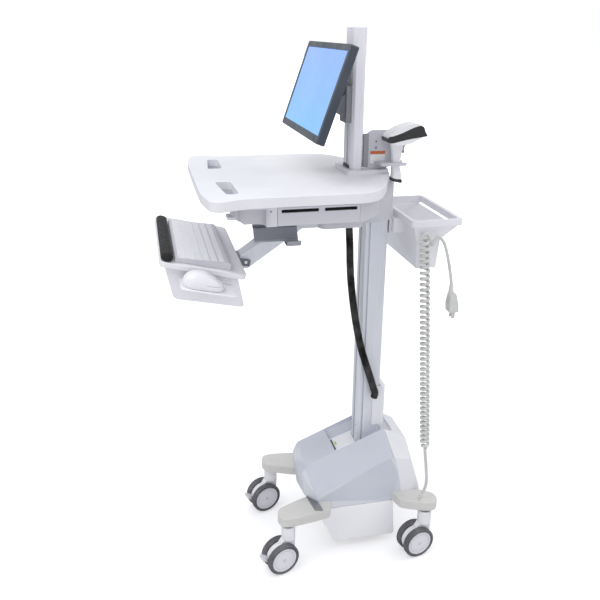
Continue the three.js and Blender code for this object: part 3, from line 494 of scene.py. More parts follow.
def joined(*meshes):
    """Several bmeshes put into one."""
    first = meshes[0]
    for other in meshes[1:]:
        scratch = bpy.data.meshes.new("scratch")
        other.to_mesh(scratch)
        other.free()
        first.from_mesh(scratch)
        bpy.data.meshes.remove(scratch)
    return first


def arc(centre_u, centre_v, radius, start, end, steps):
    """Points on a circle from the start to the end angle in degrees."""
    turns = [math.radians(start + (end - start) * i / steps) for i in range(steps + 1)]
    return [(centre_u + radius * math.cos(turn), centre_v + radius * math.sin(turn)) for turn in turns]


def boolean(first, second, operation="DIFFERENCE"):
    """Boolean of two bmeshes as a new bmesh."""
    objects = []
    for bm in (first, second):
        mesh = bpy.data.meshes.new("scratch")
        bmesh.ops.recalc_face_normals(bm, faces=bm.faces)
        bm.to_mesh(mesh)
        bm.free()
        objects.append(in_scene("scratch", mesh))
    cutter = objects[0].modifiers.new("cut", "BOOLEAN")
    cutter.operation = operation
    cutter.solver = "EXACT"
    cutter.object = objects[1]
    bpy.context.view_layer.update()
    evaluated = objects[0].evaluated_get(bpy.context.evaluated_depsgraph_get())
    result = bmesh.new()
    result.from_mesh(evaluated.to_mesh())
    evaluated.to_mesh_clear()
    for obj in objects:
        mesh = obj.data
        bpy.data.objects.remove(obj)
        bpy.data.meshes.remove(mesh)
    return result


def spline_point(p0, p1, p2, p3, t):
    """Point between p1 and p2 on the Catmull-Rom curve through four points."""
    return 0.5 * ((2 * p1) + (p2 - p0) * t + (2 * p0 - 5 * p1 + 4 * p2 - p3) * t * t
                  + (3 * p1 - p0 - 3 * p2 + p3) * t ** 3)


def smooth_path(points, steps):
    """Open smooth curve through the points."""
    padded = [points[0] * 2 - points[1]] + list(points) + [points[-1] * 2 - points[-2]]
    path = [spline_point(*padded[i : i + 4], k / steps) for i in range(len(points) - 1) for k in range(steps)]
    return path + [points[-1].copy()]


def swept(path, radius_at, sides=14):
    """A round tube along a path; radius_at gives the radius at each point's index."""
    bm = bmesh.new()
    side = Vector((1, 0, 0))
    rings = []
    for i, point in enumerate(path):
        ahead = path[min(i + 1, len(path) - 1)]
        behind = path[max(i - 1, 0)]
        along = (ahead - behind).normalized()
        side = (side - along * side.dot(along)).normalized()
        other = along.cross(side)
        radius = radius_at(i)
        ring = []
        for angle in angles(sides):
            spoke = side * radius * math.cos(angle)
            ring.append(bm.verts.new(point + spoke + other * radius * math.sin(angle)))
        rings.append(ring)
    return stitched(bm, rings)


def screw_head(centre, axis, radius=2.6 * MM, height=1.2 * MM):
    """A pan head with a hexagon socket, standing on the centre and facing along the axis."""
    sign = 1 if axis[0] == "+" else -1
    rise = [(0.05 * MM, 0.35), (radius * 0.45, 0.35), (radius * 0.5, 0.95), (radius * 0.85, 0.9),
            (radius, 0.3), (radius, -0.6), (0.05 * MM, -0.6)]
    profile = [(r, sign * share * height) for r, share in rise]
    return turned(profile, centre, axis[1], 20)


# ---- base


def envelope_of(nodes):
    """Convex hull round the given CAD nodes."""
    bm = bmesh.new()
    for node in nodes:
        for vertex in frame["nodes"][node].data.vertices:
            bm.verts.new(vertex.co)
    bmesh.ops.convex_hull(bm, input=bm.verts)
    inside = [vertex for vertex in bm.verts if not vertex.link_faces]
    bmesh.ops.delete(bm, geom=inside, context="VERTS")
    bmesh.ops.dissolve_limit(bm, angle_limit=math.radians(1.5), verts=bm.verts, edges=bm.edges)
    return bm


def valley_block():
    """The trough in the roof round the column foot, as a solid to cut away."""
    plate_low, plate_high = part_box("column_plate")
    slope = (plate_high.z - plate_low.z - PLATE_THICKNESS) / (plate_high.y - plate_low.y)
    front = plate_low.y - 0.6 * MM
    rear = plate_high.y + 40 * MM
    half = plate_high.x + 0.5 * MM
    bm = bmesh.new()
    for y, ease in ((front, 5 * MM), (rear, 0.0)):
        floor = plate_low.z - 0.5 * MM + slope * (y - plate_low.y)
        for reach, rise, shift in ((0, 0, 0), (27 * MM, 22 * MM, ease), (35 * MM, 90 * MM, ease)):
            for side in (-1, 1):
                bm.verts.new((side * (half + reach), y - shift, floor + rise))
    bmesh.ops.convex_hull(bm, input=bm.verts)
    return bm


def rod_shaft():
    """Room under the trough for the gas spring's rod at the head's lowest place."""
    low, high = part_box("gas_spring_rod")
    travel = -joint("lift")["range_m"][0]
    clearance = Vector((2 * MM, 2 * MM, 6 * MM))
    return block(low - clearance - Vector((0, 0, travel)), high + clearance)


def build_covers():
    shell = envelope_of(["base_cover", "rear_cover"])
    shell = round_edges(shell, 5 * MM, 4, 9)
    shell = boolean(shell, valley_block())
    shell = boolean(shell, rod_shaft())
    front_part = envelope_of(["base_cover"])
    front = boolean(shell.copy(), front_part.copy(), "INTERSECT")
    low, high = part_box("base_cover")
    seam_growth = (1.02, 1.003, 1.02)
    bmesh.ops.scale(front_part, vec=seam_growth, verts=front_part.verts,
                    space=Matrix.Translation(-low.lerp(high, 0.5)))
    rear = boolean(shell, front_part)
    show(front, "base_cover_skin", "base", "blue_grey_plastic", sharp=12, nodes=["base_cover"])
    show(rear, "rear_cover_skin", "base", "white_plastic", sharp=12, nodes=["rear_cover"])


def build_column_plate_details():
    """Blank dark bar and a small lime mark printed on the front end of the plate."""
    low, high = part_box("column_plate")
    slope = math.atan2(high.z - low.z - PLATE_THICKNESS, high.y - low.y)
    axes = turned_axes((0, -math.sin(slope), math.cos(slope)), "z")
    box_low, box_high = local_box("column_plate", axes)
    level = (box_high.z - 0.2 * MM, box_high.z + 0.3 * MM)
    for name, material, across, along in (
        ("plate_label_bar", LABEL_DARK, (-30 * MM, 28 * MM), (7 * MM, 12 * MM)),
        ("plate_label_mark", LABEL_LIME, (-12 * MM, 6 * MM), (15 * MM, 21 * MM)),
    ):
        bar_low = (across[0], box_low.y + along[0], level[0])
        bar_high = (across[1], box_low.y + along[1], level[1])
        show(rounded_box(bar_low, bar_high, 0.2 * MM, 2, axes), name, "base", material)


def build_base():
    build_covers()
    refined("column_plate", 1.5 * MM, 3, 40, BOX_WHITE)
    build_column_plate_details()
    refined("base_frame", 6 * MM, 5, 50)
    for side in SIDES:
        # The leg trims carry painted shade: the dark gap between each leg and the cover.
        refined("leg_trim_" + side, 0.5 * MM, 2, 30, GROOVE_SHADE)
    refine(("battery_box", 2.6, 4, 30, BOX_WHITE), ("battery_pack", 3, 3), ("power_module", 2, 2))


# ---- casters


def tyre_profile(radius, width, face):
    """Round-shouldered tread with flat sides, as (radius, distance from the inner side)."""
    shoulder = 5.5 * MM
    outer = arc(radius - shoulder, width - shoulder, shoulder, 90, 0, 6)
    inner = arc(radius - shoulder, shoulder, shoulder, 0, -90, 6)
    bead = [(face + 0.4 * MM, width - 1.2 * MM), (face + 2.2 * MM, width - 0.2 * MM)]
    return bead + outer + inner + [(face + 3 * MM, 0.5 * MM), (face + 0.4 * MM, 1.5 * MM)]


def hub_profile(face, width, bore):
    """Hub disc with a raised rim and a shallow ring on its outer side, dished on its inner side."""
    outer = width - 1.2 * MM
    dish = 6 * MM
    return [
        (bore, outer - 0.6 * MM), (face - 9 * MM, outer - 0.9 * MM), (face - 8 * MM, outer - 2.2 * MM),
        (face - 6.6 * MM, outer - 2.2 * MM), (face - 5.6 * MM, outer - 0.1 * MM), (face - 1 * MM, outer),
        (face, outer - 1 * MM), (face, dish - 4 * MM), (face - 3 * MM, dish), (bore, dish),
    ]


def placed(bm, placement):
    bmesh.ops.transform(bm, matrix=placement, verts=bm.verts)
    return bm


def build_wheel(node, roll):
    placement = axle_frame(roll)
    low, high = placed_box(node, placement)
    outward = 1 if node.endswith("_a") else -1
    inner_x = low.x if outward > 0 else high.x
    width = high.x - low.x
    radius = (high.z - low.z) / 2
    face = radius * HUB_SHARE
    body = BODY_OF_NODE[node]
    start = (inner_x, 0, 0)
    tyre = turned([(r, outward * a) for r, a in tyre_profile(radius, width, face)], start)
    show(placed(tyre, placement), node + "_tyre", body, "tyre", sharp=50, nodes=[node])
    hub = turned([(r, outward * a) for r, a in hub_profile(face, width, 4.4 * MM)], start)
    show(placed(hub, placement), node + "_hub", body, HUB_PLASTIC, "pale_plastic", 30)
    cap = turned([(0.05 * MM, outward * 1.6 * MM), (4 * MM, outward * 1.5 * MM),
                  (6.5 * MM, outward * 0.9 * MM), (7 * MM, 0.0), (0.05 * MM, 0.0)],
                 (inner_x + outward * (width - 2.4 * MM), 0, 0), segments=32)
    show(placed(cap, placement), node + "_cap", body, SLOTS["pale_plastic"])


def build_caster(corner, roll):
    """Hooded fork between the two wheels, with a barrel and a dark bearing on top."""
    node = "caster_" + corner
    body = BODY_OF_NODE[node]
    placement = axle_frame(roll)
    top = placed_box(node, placement)[1].z
    stem = placement.inverted() @ Vector(joint("swivel_" + roll.split("_")[1])["pos_m"])
    wheel_low, wheel_high = placed_box("wheel_" + corner + "_a", placement)
    wheel_radius = (wheel_high.z - wheel_low.z) / 2
    half = wheel_low.x - 1.2 * MM
    barrel_radius = 21 * MM
    barrel_top = BARREL_TOP - wheel_radius
    barrel_foot = wheel_radius + 3 * MM
    hood = arc(0, 0, wheel_radius - 8 * MM, 95, 350, 44)
    hood += [(stem.y + 17 * MM, 20 * MM), (stem.y + 19 * MM, barrel_foot + 5 * MM),
             (stem.y - 19 * MM, barrel_foot + 5 * MM)]
    fork = round_edges(prism(hood, -half, half), 2.2 * MM, 3, 40)
    barrel = turned([(0.1 * MM, barrel_foot), (barrel_radius - 3 * MM, barrel_foot),
                     (barrel_radius, barrel_foot + 3 * MM), (barrel_radius - 0.4 * MM, barrel_top - 4 * MM),
                     (barrel_radius - 1.6 * MM, barrel_top - 1 * MM), (barrel_radius - 4 * MM, barrel_top),
                     (0.1 * MM, barrel_top)], (0, stem.y, 0), "z", 48)
    axle = turned([(0.1 * MM, -28 * MM), (3.9 * MM, -28 * MM), (3.9 * MM, 28 * MM), (0.1 * MM, 28 * MM)],
                  (0, 0, 0), "x", 24)
    shell = placed(joined(fork, barrel, axle), placement)
    show(shell, node + "_skin", body, "white_plastic", nodes=[node])
    bearing_top = BEARING_TOP - wheel_radius
    bearing = turned([(0.1 * MM, barrel_top + 0.1 * MM), (17 * MM, barrel_top + 0.1 * MM),
                      (17 * MM, barrel_top + 3 * MM), (14.6 * MM, barrel_top + 4 * MM),
                      (14.6 * MM, bearing_top), (7.4 * MM, bearing_top), (7.4 * MM, top), (0.1 * MM, top)],
                     (0, stem.y, 0), "z", 40)
    show(placed(bearing, placement), node + "_bearing", body, SLOTS["dark_steel"])


def build_running_gear():
    for end in ("front", "rear"):
        for side in SIDES:
            corner = end + "_" + side
            short = end[0] + side[0]
            build_caster(corner, "roll_" + short + "_a")
            for letter in "ab":
                build_wheel("wheel_" + corner + "_" + letter, "roll_" + short + "_" + letter)
    for side in SIDES:
        refined("brake_pedal_" + side, 1.5 * MM, 3, 30)


# ---- column and head


def build_column():
    refine(("riser", 0.8, 2, 30), ("cable_inlet_cover", 2.2, 4, 30), ("gas_spring_cylinder", 0.8, 2),
           ("gas_spring_rod", 0.6, 2))
    low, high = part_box("riser")
    for height in (low.z + 150 * MM, low.z + 180 * MM):
        centre = (high.x - 6 * MM, low.y, height)
        show(screw_head(centre, "-y", 1.8 * MM, 0.9 * MM), "riser_screw_%d" % round(height / MM), "base",
             SLOTS["bright_steel"])


def build_head():
    refine(("worksurface", 6, 5, 45), ("head_body", 2.2, 3, 35))
    for side in SIDES:
        refined("side_panel_" + side, 0.8 * MM, 2, 35)
    refine(("cable_tray", 0.9, 2, 20, TRAY_STEEL), ("lift_release_lever", 1.5, 3),
           ("arm_pin_head", 0.8, 2))
    for side in (-1, 1):
        build_slot_shades(side)
        build_corner_screw(side)
        build_handle_floor(side)


def side_name(side):
    return SIDES[0] if side > 0 else SIDES[1]


def build_slot_shades(side):
    """Dark sheet set into the inner side of the panel, across its two ventilation slots: painted shade for the
    dark inside of the slots.
    """
    low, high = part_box("side_panel_right")
    depth = (low.x + 0.3 * MM, low.x + 0.9 * MM)
    start, end = sorted(side * value for value in depth)
    bm = rounded_box((start, low.y + 5 * MM, low.z + 28 * MM),
                     (end, high.y - 3 * MM, low.z + 42 * MM), 0.4 * MM, 2)
    show(bm, "slot_shade_" + side_name(side), "head", SLOT_SHADE)


def build_handle_floor(side):
    """Grey floor plate let into the worksurface under each handle hole; its grey is painted shade for the dark
    inside of the hole.
    """
    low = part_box("worksurface")[0]
    across = sorted((side * 80 * MM, side * 238 * MM))
    plate = rounded_box((across[0], low.y + 40 * MM, low.z + 2.5 * MM),
                        (across[1], low.y + 96 * MM, low.z + 4.5 * MM), 0.6 * MM, 2)
    show(plate, "handle_floor_" + side_name(side), "head", TRAY_STEEL)


def build_corner_screw(side):
    """Small screw in the blank corner of the deck in front of the side panel."""
    low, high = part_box("side_panel_right")
    centre = (side * high.x, low.y - 16 * MM, high.z - 8 * MM)
    screw = screw_head(centre, "+x" if side > 0 else "-x", 2.2 * MM, 0.8 * MM)
    show(screw, "corner_screw_" + side_name(side), "head", SLOTS["dark_steel"])


# ---- display


def build_vents():
    """A column of short cooling slots down each sloping side of the display's back."""
    low, high = local_box("display_shell", DISPLAY)
    middle = (low + high) / 2
    outer, inner = (168 * MM, high.y - 12 * MM), (154 * MM, high.y - 2.9 * MM)
    length = math.hypot(outer[0] - inner[0], outer[1] - inner[1])
    proud = (0.35 * MM * (inner[1] - outer[1]) / length, 0.35 * MM * (outer[0] - inner[0]) / length)
    for side in (-1, 1):
        slots = []
        for i in range(27):
            z = middle.z + (i - 13) * 5.4 * MM
            shape = [outer, inner, (inner[0] + proud[0], inner[1] + proud[1]),
                     (outer[0] + proud[0], outer[1] + proud[1])]
            corners = [(side * x + middle.x, y) for x, y in shape]
            # Each slot is a thin near-black sliver on the shell: painted shade for the inside of the slot.
            slots.append(prism(corners, z - 1.1 * MM, z + 1.1 * MM, DISPLAY, "xy"))
        show(joined(*slots), "display_vents_" + side_name(side), "display", SLOT_SHADE)


def build_mast_details():
    """Cover strip in the slot above the display's travel and a black stop at its foot."""
    low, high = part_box("display_column")
    strip = rounded_box((-6.6 * MM, low.y + 0.2 * MM, high.z - 62 * MM),
                        (6.6 * MM, low.y + 3 * MM, high.z - 4.2 * MM), 0.4 * MM, 2)
    show(strip, "mast_slot_cover", "head", MAST_SKIN, "column")
    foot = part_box("worksurface")[1].z
    stop = rounded_box((-24 * MM, low.y - 2.6 * MM, foot + 0.4 * MM),
                       (24 * MM, low.y - 0.2 * MM, foot + 8 * MM), 0.7 * MM, 2)
    show(stop, "mast_foot_stop", "head", RUBBER_DARK)


def build_display():
    refine(("display_column", 1.6, 3, 30, MAST_SKIN), ("display_carriage", 1.0, 2),
           ("display_tilt_plate", 1.2, 2), ("display_shell", 2.2, 4, 30), ("display_screen", 0.6, 2),
           ("display_power_button", 0.5, 2))
    build_vents()
    build_mast_details()


# ---- keyboard tray


def soft_bar(low, high, axes, stations=60, sides=28):
    """A crowned pad with a flat underside and domed ends."""
    bm = bmesh.new()
    half_y = (high.y - low.y) / 2
    height = high.z - low.z
    middle_y = (low.y + high.y) / 2
    dome = 16 * MM
    length = high.x - low.x
    rings = []
    for i in range(stations + 1):
        share = 0.5 - 0.5 * math.cos(math.pi * i / stations)
        x = low.x + length * share
        near = min(x - low.x, high.x - x) / dome
        swell = 1.0 if near >= 1 else max(0.02, (1 - (1 - near) ** 2.6) ** (1 / 2.6))
        ring = []
        for angle in angles(sides):
            reach, rise = squarish(angle, 0.8)
            y = middle_y + half_y * swell * reach
            level = 0.36 + (0.64 if rise > 0 else 0.36) * rise * swell
            ring.append(bm.verts.new(axes @ Vector((x, y, low.z + height * level))))
        rings.append(ring)
    return stitched(bm, rings)


def build_wrist_rest():
    low, high = local_box("wrist_rest", TRAY)
    show(soft_bar(low, high, TRAY), "wrist_rest_pad", "tray", "soft_black", sharp=60, nodes=["wrist_rest"],
         flat_weight=False)


def build_keys():
    """Six rows of low keys on the sloping deck of the keyboard."""
    low, high = local_box("keyboard", TRAY)
    front, rear = low.y + 7 * MM, high.y - 9 * MM
    front_top, rear_top = low.z + 9.8 * MM, high.z - 0.2 * MM
    rows, columns, gap = 6, 19, 0.8 * MM
    pitch_x = (high.x - low.x - 12 * MM) / columns
    pitch_y = (rear - front) / rows
    parts = []
    for row in range(rows):
        y0 = front + row * pitch_y
        deck = front_top + (rear_top - front_top) * (y0 + pitch_y / 2 - low.y) / (high.y - 6 * MM - low.y)
        column = 0
        while column < columns:
            wide = 6 if (row == 0 and column == 4) else 1
            x0 = low.x + 6 * MM + column * pitch_x
            parts.append(rounded_box((x0 + gap / 2, y0 + gap / 2, deck - 2 * MM),
                                     (x0 + wide * pitch_x - gap / 2, y0 + pitch_y - gap / 2, deck + 0.4 * MM),
                                     0.7 * MM, 2, TRAY))
            column += wide
    show(joined(*parts), "keyboard_keys", "tray", KEYCAP, "pale_plastic")


def mouse_form(low, high):
    """Closed, smooth mouse shape in tray axes: a rounded plan with its hump nearer the palm."""
    middle = (low + high) / 2
    half_x = (high.x - low.x) / 2
    half_y = (high.y - low.y) / 2
    height = high.z - low.z
    around, levels = 56, 18
    bm = bmesh.new()
    rings = []
    for level in range(levels):
        lift = math.pi / 2 * level / levels
        scale = math.cos(lift) ** 0.62
        ring = []
        for angle in angles(around):
            u, v = (value * scale for value in squarish(angle, 0.82, 0.86))
            waist = 1 - 0.06 * math.cos(math.pi * v)
            hump = 1 - 0.42 * max(0.0, v + 0.25) ** 1.6 - 0.16 * max(0.0, -v - 0.25) ** 2
            rise = height * (0.14 + 0.86 * math.sin(lift) ** 0.9 * hump)
            place = (middle.x + half_x * waist * u, middle.y + half_y * v, low.z + rise)
            ring.append(bm.verts.new(Vector(place)))
        rings.append(ring)
    foot = []
    for vertex in rings[0]:
        inward = Vector((middle.x, middle.y, 0)) - Vector((vertex.co.x, vertex.co.y, 0))
        foot.append(bm.verts.new(Vector((vertex.co.x, vertex.co.y, low.z)) + inward.normalized() * 3 * MM))
    return stitched(bm, [foot] + rings)


def build_mouse():
    body_low, body_high = local_box("mouse_body", TRAY)
    button_low, button_high = local_box("mouse_button_right", TRAY)
    left_end = local_box("mouse_button_left", TRAY)[1].x
    wheel_low, wheel_high = local_box("mouse_wheel", TRAY)
    low = body_low
    high = Vector((body_high.x, max(body_high.y, button_high.y), max(body_high.z, button_high.z)))
    form = mouse_form(low, high)
    travel = max(abs(value) for value in joint("mouse_click_right")["range_m"])
    split_z = button_low.z - travel - 0.3 * MM
    split_y = button_low.y - 0.2 * MM
    far = 100 * MM  # well past the mouse
    beyond = (high.x + far, high.y + far, high.z + far)
    front_top = block((low.x - far, split_y, split_z), beyond)
    shell = boolean(form.copy(), front_top)
    well = block((wheel_low.x - 0.6 * MM, wheel_low.y - 1 * MM, wheel_low.z - 1 * MM),
                 (wheel_high.x + 0.6 * MM, wheel_high.y + 1 * MM, high.z + far))
    shell = boolean(shell, well)
    right = boolean(form.copy(), block(button_low, beyond), "INTERSECT")
    left_room = block((low.x - far, button_low.y, button_low.z), (left_end, *beyond[1:]))
    left = boolean(form, left_room, "INTERSECT")
    for bm, name, node in ((shell, "mouse_shell", "mouse_body"),
                           (right, "mouse_key_right", "mouse_button_right"),
                           (left, "mouse_key_left", "mouse_button_left")):
        placed(bm, TRAY.to_4x4())
        round_edges(bm, 0.35 * MM, 2, 50)
        show(bm, name, BODY_OF_NODE[node], "white_plastic", sharp=40, nodes=[node], flat_weight=False)
    centre = TRAY @ ((wheel_low + wheel_high) / 2)
    radius = (wheel_high.y - wheel_low.y) / 2
    half = (wheel_high.x - wheel_low.x) / 2
    wheel = turned([(0.1 * MM, -half), (radius - 1.2 * MM, -half), (radius, -half + 1.5 * MM),
                    (radius - 0.4 * MM, 0.0), (radius, half - 1.5 * MM), (radius - 1.2 * MM, half),
                    (0.1 * MM, half)], centre, "x", 40)
    show(wheel, "scroll_wheel", BODY_OF_NODE["mouse_wheel"], RUBBER_DARK, "soft_black", 40, ["mouse_wheel"])


def build_tray():
    refine(("tray_arm", 2, 3, 35), ("arm_pin_tray", 0.8, 2), ("tray_hinge", 0.8, 2),
           ("keyboard_tray", 3, 4, 40), ("storage_box", 1.3, 3, 30), ("keyboard", 1.2, 3, 30),
           ("mouse_tray_guide", 0.6, 2), ("mouse_tray", 1.0, 2))
    build_wrist_rest()
    build_keys()
    build_mouse()


# ---- cords, basket and scanner


def build_hose():
    """Corrugated hose along the path of the CAD hose."""
    low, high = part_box("hose")
    levels = 40
    ends = (low.z + 2 * MM, high.z - 2 * MM)
    points = [slice_centre("hose", 2, ends[0] + (ends[1] - ends[0]) * i / levels) for i in range(levels + 1)]
    path = smooth_path(points, 12)
    rib = 4.8 * MM
    mean = section_width("hose", high.z - 60 * MM) / 2 - 0.9 * MM
    lengths = [0.0]
    for a, b in zip(path, path[1:]):
        lengths.append(lengths[-1] + (b - a).length)
    def radius_at(i):
        return mean + 0.8 * MM * math.sin(2 * math.pi * lengths[i] / rib)
    piece = show(swept(path, radius_at, 20), "hose_corrugated", None, HOSE_RUBBER, "soft_black", 80,
                 ["hose"], False)
    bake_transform(piece)


def build_coiled_cord():
    """Charging cord: a loose coil, then a straight lead down to the socket on the rear leg."""
    low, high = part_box("coiled_cord")
    wire = 4.4 * MM
    sleeve_low = next(z * MM for z in range(300, 420) if section_width("coiled_cord", z * MM) > 20 * MM)
    coil_radius = section_width("coiled_cord", (sleeve_low + high.z) / 2) / 2 - wire
    bottom = slice_centre("coiled_cord", 2, sleeve_low + 8 * MM)
    top = slice_centre("coiled_cord", 2, high.z - 6 * MM)
    turns = round((top.z - bottom.z) / (16.2 * MM))
    steps = 18
    drop = sleeve_low - 8 * MM - low.z
    path = [slice_centre("coiled_cord", 2, low.z + 1 * MM + drop * i / 14) for i in range(15)]
    count = turns * steps
    for i in range(count + 1):
        share = i / count
        centre = bottom.lerp(top, share)
        settle = min(1.0, i / steps, (count - i) / steps)
        reach = coil_radius * (0.15 + 0.85 * settle)
        angle = 2 * math.pi * i / steps
        path.append(centre + Vector((math.cos(angle), math.sin(angle), 0)) * reach)
    piece = show(swept(path, lambda i: wire, 10), "coiled_cord_wire", None, "cord_grey", sharp=80,
                 nodes=["coiled_cord"], flat_weight=False)
    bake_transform(piece)


def build_plug_lead():
    """The plug's lead comes off the top of the coil, over the hook on the basket."""
    refined("plug_lead", 1.0 * MM, 2)
    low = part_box("plug_lead")[0]
    coil = slice_centre("coiled_cord", 2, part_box("coiled_cord")[1].z - 3 * MM)
    start = slice_centre("plug_lead", 1, low.y + 2 * MM)
    path = smooth_path([coil + Vector((0, -9, -10)) * MM, coil + Vector((0, -4, 3)) * MM,
                        coil.lerp(start, 0.35) + Vector((0, 0, 12)) * MM,
                        coil.lerp(start, 0.75) + Vector((0, 0, 2)) * MM,
                        start + Vector((0, 0, -4)) * MM, start + Vector((0, 5, 4)) * MM], 10)
    loop = swept(path, lambda i: 3.7 * MM, 12)
    show(loop, "cord_loop", "head", "cord_grey", sharp=80, flat_weight=False)


def ring_of(centre, half_x, half_y, z, power=0.62, count=32):
    """Rounded-rectangle ring of points at one height."""
    ring = []
    for angle in angles(count):
        u, v = squarish(angle, power)
        ring.append(Vector((centre[0] + half_x * u, centre[1] + half_y * v, z)))
    return ring


def lofted(rings):
    """Closed skin through rings that have the same number of points."""
    bm = bmesh.new()
    return stitched(bm, [[bm.verts.new(point) for point in ring] for ring in rings])


def smooth_outline(points, steps=6):
    """Closed smooth outline through flat points."""
    loop = [Vector((u, v, 0)) for u, v in points]
    runs = [[loop[(i + k - 1) % len(loop)] for k in range(4)] for i in range(len(loop))]
    return [spline_point(*run, k / steps).xy for run in runs for k in range(steps)]


def build_scanner():
    refined("scanner_bracket", 1.2 * MM, 3)
    low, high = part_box("scanner_body")
    trigger_low, trigger_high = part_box("scanner_trigger")
    middle = (low.x + high.x) / 2
    head_half = (high.x - low.x) / 2 - 3 * MM

    def at(points):
        """(y, z) points in millimetres from the scanner's low corner."""
        return [(low.y + y * MM, low.z + z * MM) for y, z in points]

    head = prism(smooth_outline(at([
        (0, 117), (4, 125), (19, 135), (44, 146), (68, 152.5), (84, 151), (96, 143), (101, 131), (106, 122),
        (94, 117), (70, 105), (48, 99), (24, 100), (6, 104),
    ])), middle - head_half, middle + head_half)
    round_edges(head, 6 * MM, 5, 50)
    show(head, "scanner_head", "scanner", "white_plastic", sharp=40, nodes=["scanner_body"])
    window = prism(smooth_outline(at([
        (-1, 114), (3, 121), (14, 122.5), (38, 130), (64, 141), (85, 147), (96, 143.5), (101.5, 131),
        (107, 121), (92, 118.5), (66, 115), (38, 110), (14, 105), (2, 106),
    ])), middle - head_half - 0.7 * MM, middle + head_half + 0.7 * MM)
    round_edges(window, 2.2 * MM, 3, 50)
    show(window, "scanner_window", "scanner", WINDOW_DARK, "dark_plastic", 40)

    sections = [(103, 33, 18.5, 10.5), (92, 33.5, 17.5, 10.2), (80, 33.5, 15, 10), (66, 33.2, 13, 9.6),
                (52, 33, 11.4, 9.2), (40, 33, 11.3, 9.8), (28, 34.6, 12.6, 11.6), (16, 36, 14, 13.6),
                (9, 36, 14.2, 14)]
    handle = lofted([ring_of((middle, low.y + y * MM), half_x * MM, half_y * MM, low.z + z * MM)
                     for z, y, half_y, half_x in sections])
    room_low = (trigger_low.x - 0.4 * MM, trigger_low.y - 4 * MM, trigger_low.z - 1.5 * MM)
    room_high = (trigger_high.x + 0.4 * MM, trigger_high.y + 30 * MM, trigger_high.z + 1.5 * MM)
    handle = boolean(handle, block(room_low, room_high))
    show(handle, "scanner_grip", "scanner", "white_plastic", sharp=40)
    foot_rings = []
    for z, grow in ((9, 0.4), (7.5, 1.2), (3, 1.2), (0.5, 0.2)):
        ring = ring_of((middle, low.y + 36 * MM), (14 + grow) * MM, (14.2 + grow) * MM, 0.0)
        foot_rings.append([Vector((p.x, p.y, low.z + z * MM - (p.y - low.y - 36 * MM) * 0.22)) for p in ring])
    show(lofted(foot_rings), "scanner_foot", "scanner", RUBBER_DARK, "dark_plastic", 40)
    refined("scanner_trigger", 0.8 * MM, 2)
    build_bracket_details()


def build_bracket_details():
    """Two screws, a blank white label with an orange strip, and a dark clamp beside the mast."""
    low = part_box("scanner_bracket")[0]
    mast_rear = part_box("display_column")[1].y
    for height in (54 * MM, 70 * MM):
        show(screw_head((BRACKET_FACE, low.y + 34 * MM, low.z + height), "+x", 2.8 * MM, 1.1 * MM),
             "bracket_screw_%d" % round(height / MM), "head", SLOTS["dark_steel"])
    for name, material, levels in (("bracket_label_orange", LABEL_ORANGE, (37, 45)),
                                   ("bracket_label_white", LABEL_WHITE, (13, 36))):
        patch = rounded_box((BRACKET_FACE - 0.1 * MM, low.y + 19 * MM, low.z + levels[0] * MM),
                            (BRACKET_FACE + 0.3 * MM, low.y + 60 * MM, low.z + levels[1] * MM), 0.15 * MM, 1)
        show(patch, name, "head", material)
    clamp = rounded_box((30.5 * MM, mast_rear + 0.3 * MM, low.z + 4 * MM),
                        (40 * MM, mast_rear + 13 * MM, low.z + 90 * MM), 1.2 * MM, 3)
    show(clamp, "bracket_clamp", "head", "dark_steel")


def build_extras():
    refined("basket", 1.3 * MM, 3, 30)
    build_hose()
    build_coiled_cord()
    build_plug_lead()
    build_scanner()


# ---- stage


def build_floor():
    """Pale studio floor that looks nearly white to the camera but throws little light back up."""
    mesh = bpy.data.meshes.new("floor")
    size = 40.0
    corners = [(-size, -size, 0), (size, -size, 0), (size, size, 0), (-size, size, 0)]
    mesh.from_pydata(corners, [], [(0, 1, 2, 3)])
    floor = in_scene("floor", mesh)
    shader = Shader("floor")
    clouds = shader.ramp(shader.noise(0.7, 2))
    tone = shader.blend(clouds, linear(214, 214, 216), linear(222, 222, 224))
    far = shader.add("ShaderNodeVectorMath")
    far.operation = "LENGTH"
    shader.link(shader.place, far.inputs[0])
    glow = shader.ramp(far.outputs["Value"], 0.42, 1.1, 1.2, 6.0)
    seen = shader.add("ShaderNodeLightPath").outputs["Is Camera Ray"]
    strength = shader.add("ShaderNodeMath")
    strength.operation = "MULTIPLY"
    shader.link(seen, strength.inputs[0])
    shader.link(glow, strength.inputs[1])
    shader.link(strength.outputs["Value"], shader.surface.inputs["Emission Strength"])
    texture = shader.bump(shader.noise(60, 2), 0.02, 0.001)
    material = shader.finish(tone, 0.8, texture, Emission_Color=WHITE, Specular_IOR_Level=0.1)
    mesh.materials.append(material)


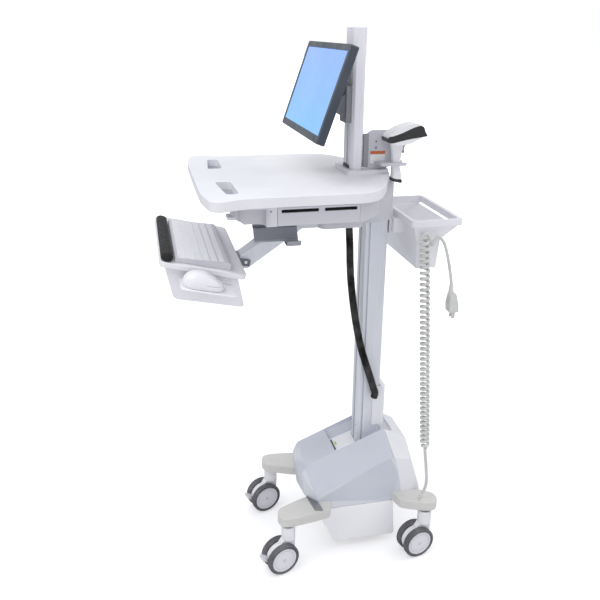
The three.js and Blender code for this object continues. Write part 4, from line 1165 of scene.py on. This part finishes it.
def build_world():
    """Soft white surround: brighter overhead than at the horizon, and plain white to the camera."""
    world = bpy.data.worlds.new("studio")
    bpy.context.scene.world = world
    nodes = Nodes(world)
    split = nodes.add("ShaderNodeSeparateXYZ")
    nodes.link(nodes.add("ShaderNodeTexCoord").outputs["Generated"], split.inputs["Vector"])
    strength = nodes.add("ShaderNodeMapRange", To_Min=0.52, To_Max=1.04)
    nodes.link(split.outputs["Z"], strength.inputs["Value"])
    soft = nodes.tree.nodes["Background"]
    nodes.link(strength.outputs["Result"], soft.inputs["Strength"])
    soft.inputs["Color"].default_value = (0.97, 0.98, 1.0, 1.0)
    plain = nodes.add("ShaderNodeBackground", Color=WHITE)
    choice = nodes.add("ShaderNodeMixShader")
    nodes.link(nodes.add("ShaderNodeLightPath").outputs["Is Camera Ray"], choice.inputs["Fac"])
    nodes.link(soft.outputs["Background"], choice.inputs[1])
    nodes.link(plain.outputs["Background"], choice.inputs[2])
    nodes.link(choice.outputs["Shader"], nodes.tree.nodes["World Output"].inputs["Surface"])


def build_softbox(name, place, size, power):
    """Square light at a place, aimed at the middle of the cart."""
    light = bpy.data.lights.new(name, "AREA")
    light.shape = "RECTANGLE"
    light.size = size
    light.size_y = size
    light.energy = power
    holder = in_scene(name, light)
    direction = Vector((0, 0, 0.8)) - Vector(place)
    holder.matrix_world = Matrix.Translation(place) @ direction.to_track_quat("-Z", "Y").to_matrix().to_4x4()


def build_stage():
    build_floor()
    build_world()
    build_softbox("key", (0.6, -1.8, 3.6), 2.0, 34)
    build_softbox("fill", (3.4, -0.3, 1.3), 2.0, 15)
    build_softbox("rim", (0.4, 2.4, 3.0), 1.6, 16)


def build_camera():
    """Pinhole at the viewing point, looking down and across the cart from its right side."""
    place = Vector((1.7954, -0.4170, 1.5325))
    yaw, pitch, roll = (math.radians(angle) for angle in (77.278, 21.482, 0.312))
    back = Vector((math.sin(yaw) * math.cos(pitch), -math.cos(yaw) * math.cos(pitch), math.sin(pitch)))
    right = Vector((math.cos(yaw), math.sin(yaw), 0))
    up = back.cross(right)
    rolled_right = right * math.cos(roll) + up * math.sin(roll)
    rolled_up = up * math.cos(roll) - right * math.sin(roll)
    lens = bpy.data.cameras.new("camera")
    lens.sensor_width = 36
    lens.lens = 41.57
    lens.clip_end = 60
    camera = in_scene("camera", lens)
    turn = Matrix((rolled_right, rolled_up, back)).transposed()
    camera.matrix_world = Matrix.Translation(place) @ turn.to_4x4()
    bpy.context.scene.camera = camera
    bpy.context.scene.view_settings.view_transform = "Standard"


build_base()
build_running_gear()
build_column()
build_head()
build_display()
build_tray()
build_extras()
build_stage()
build_camera()
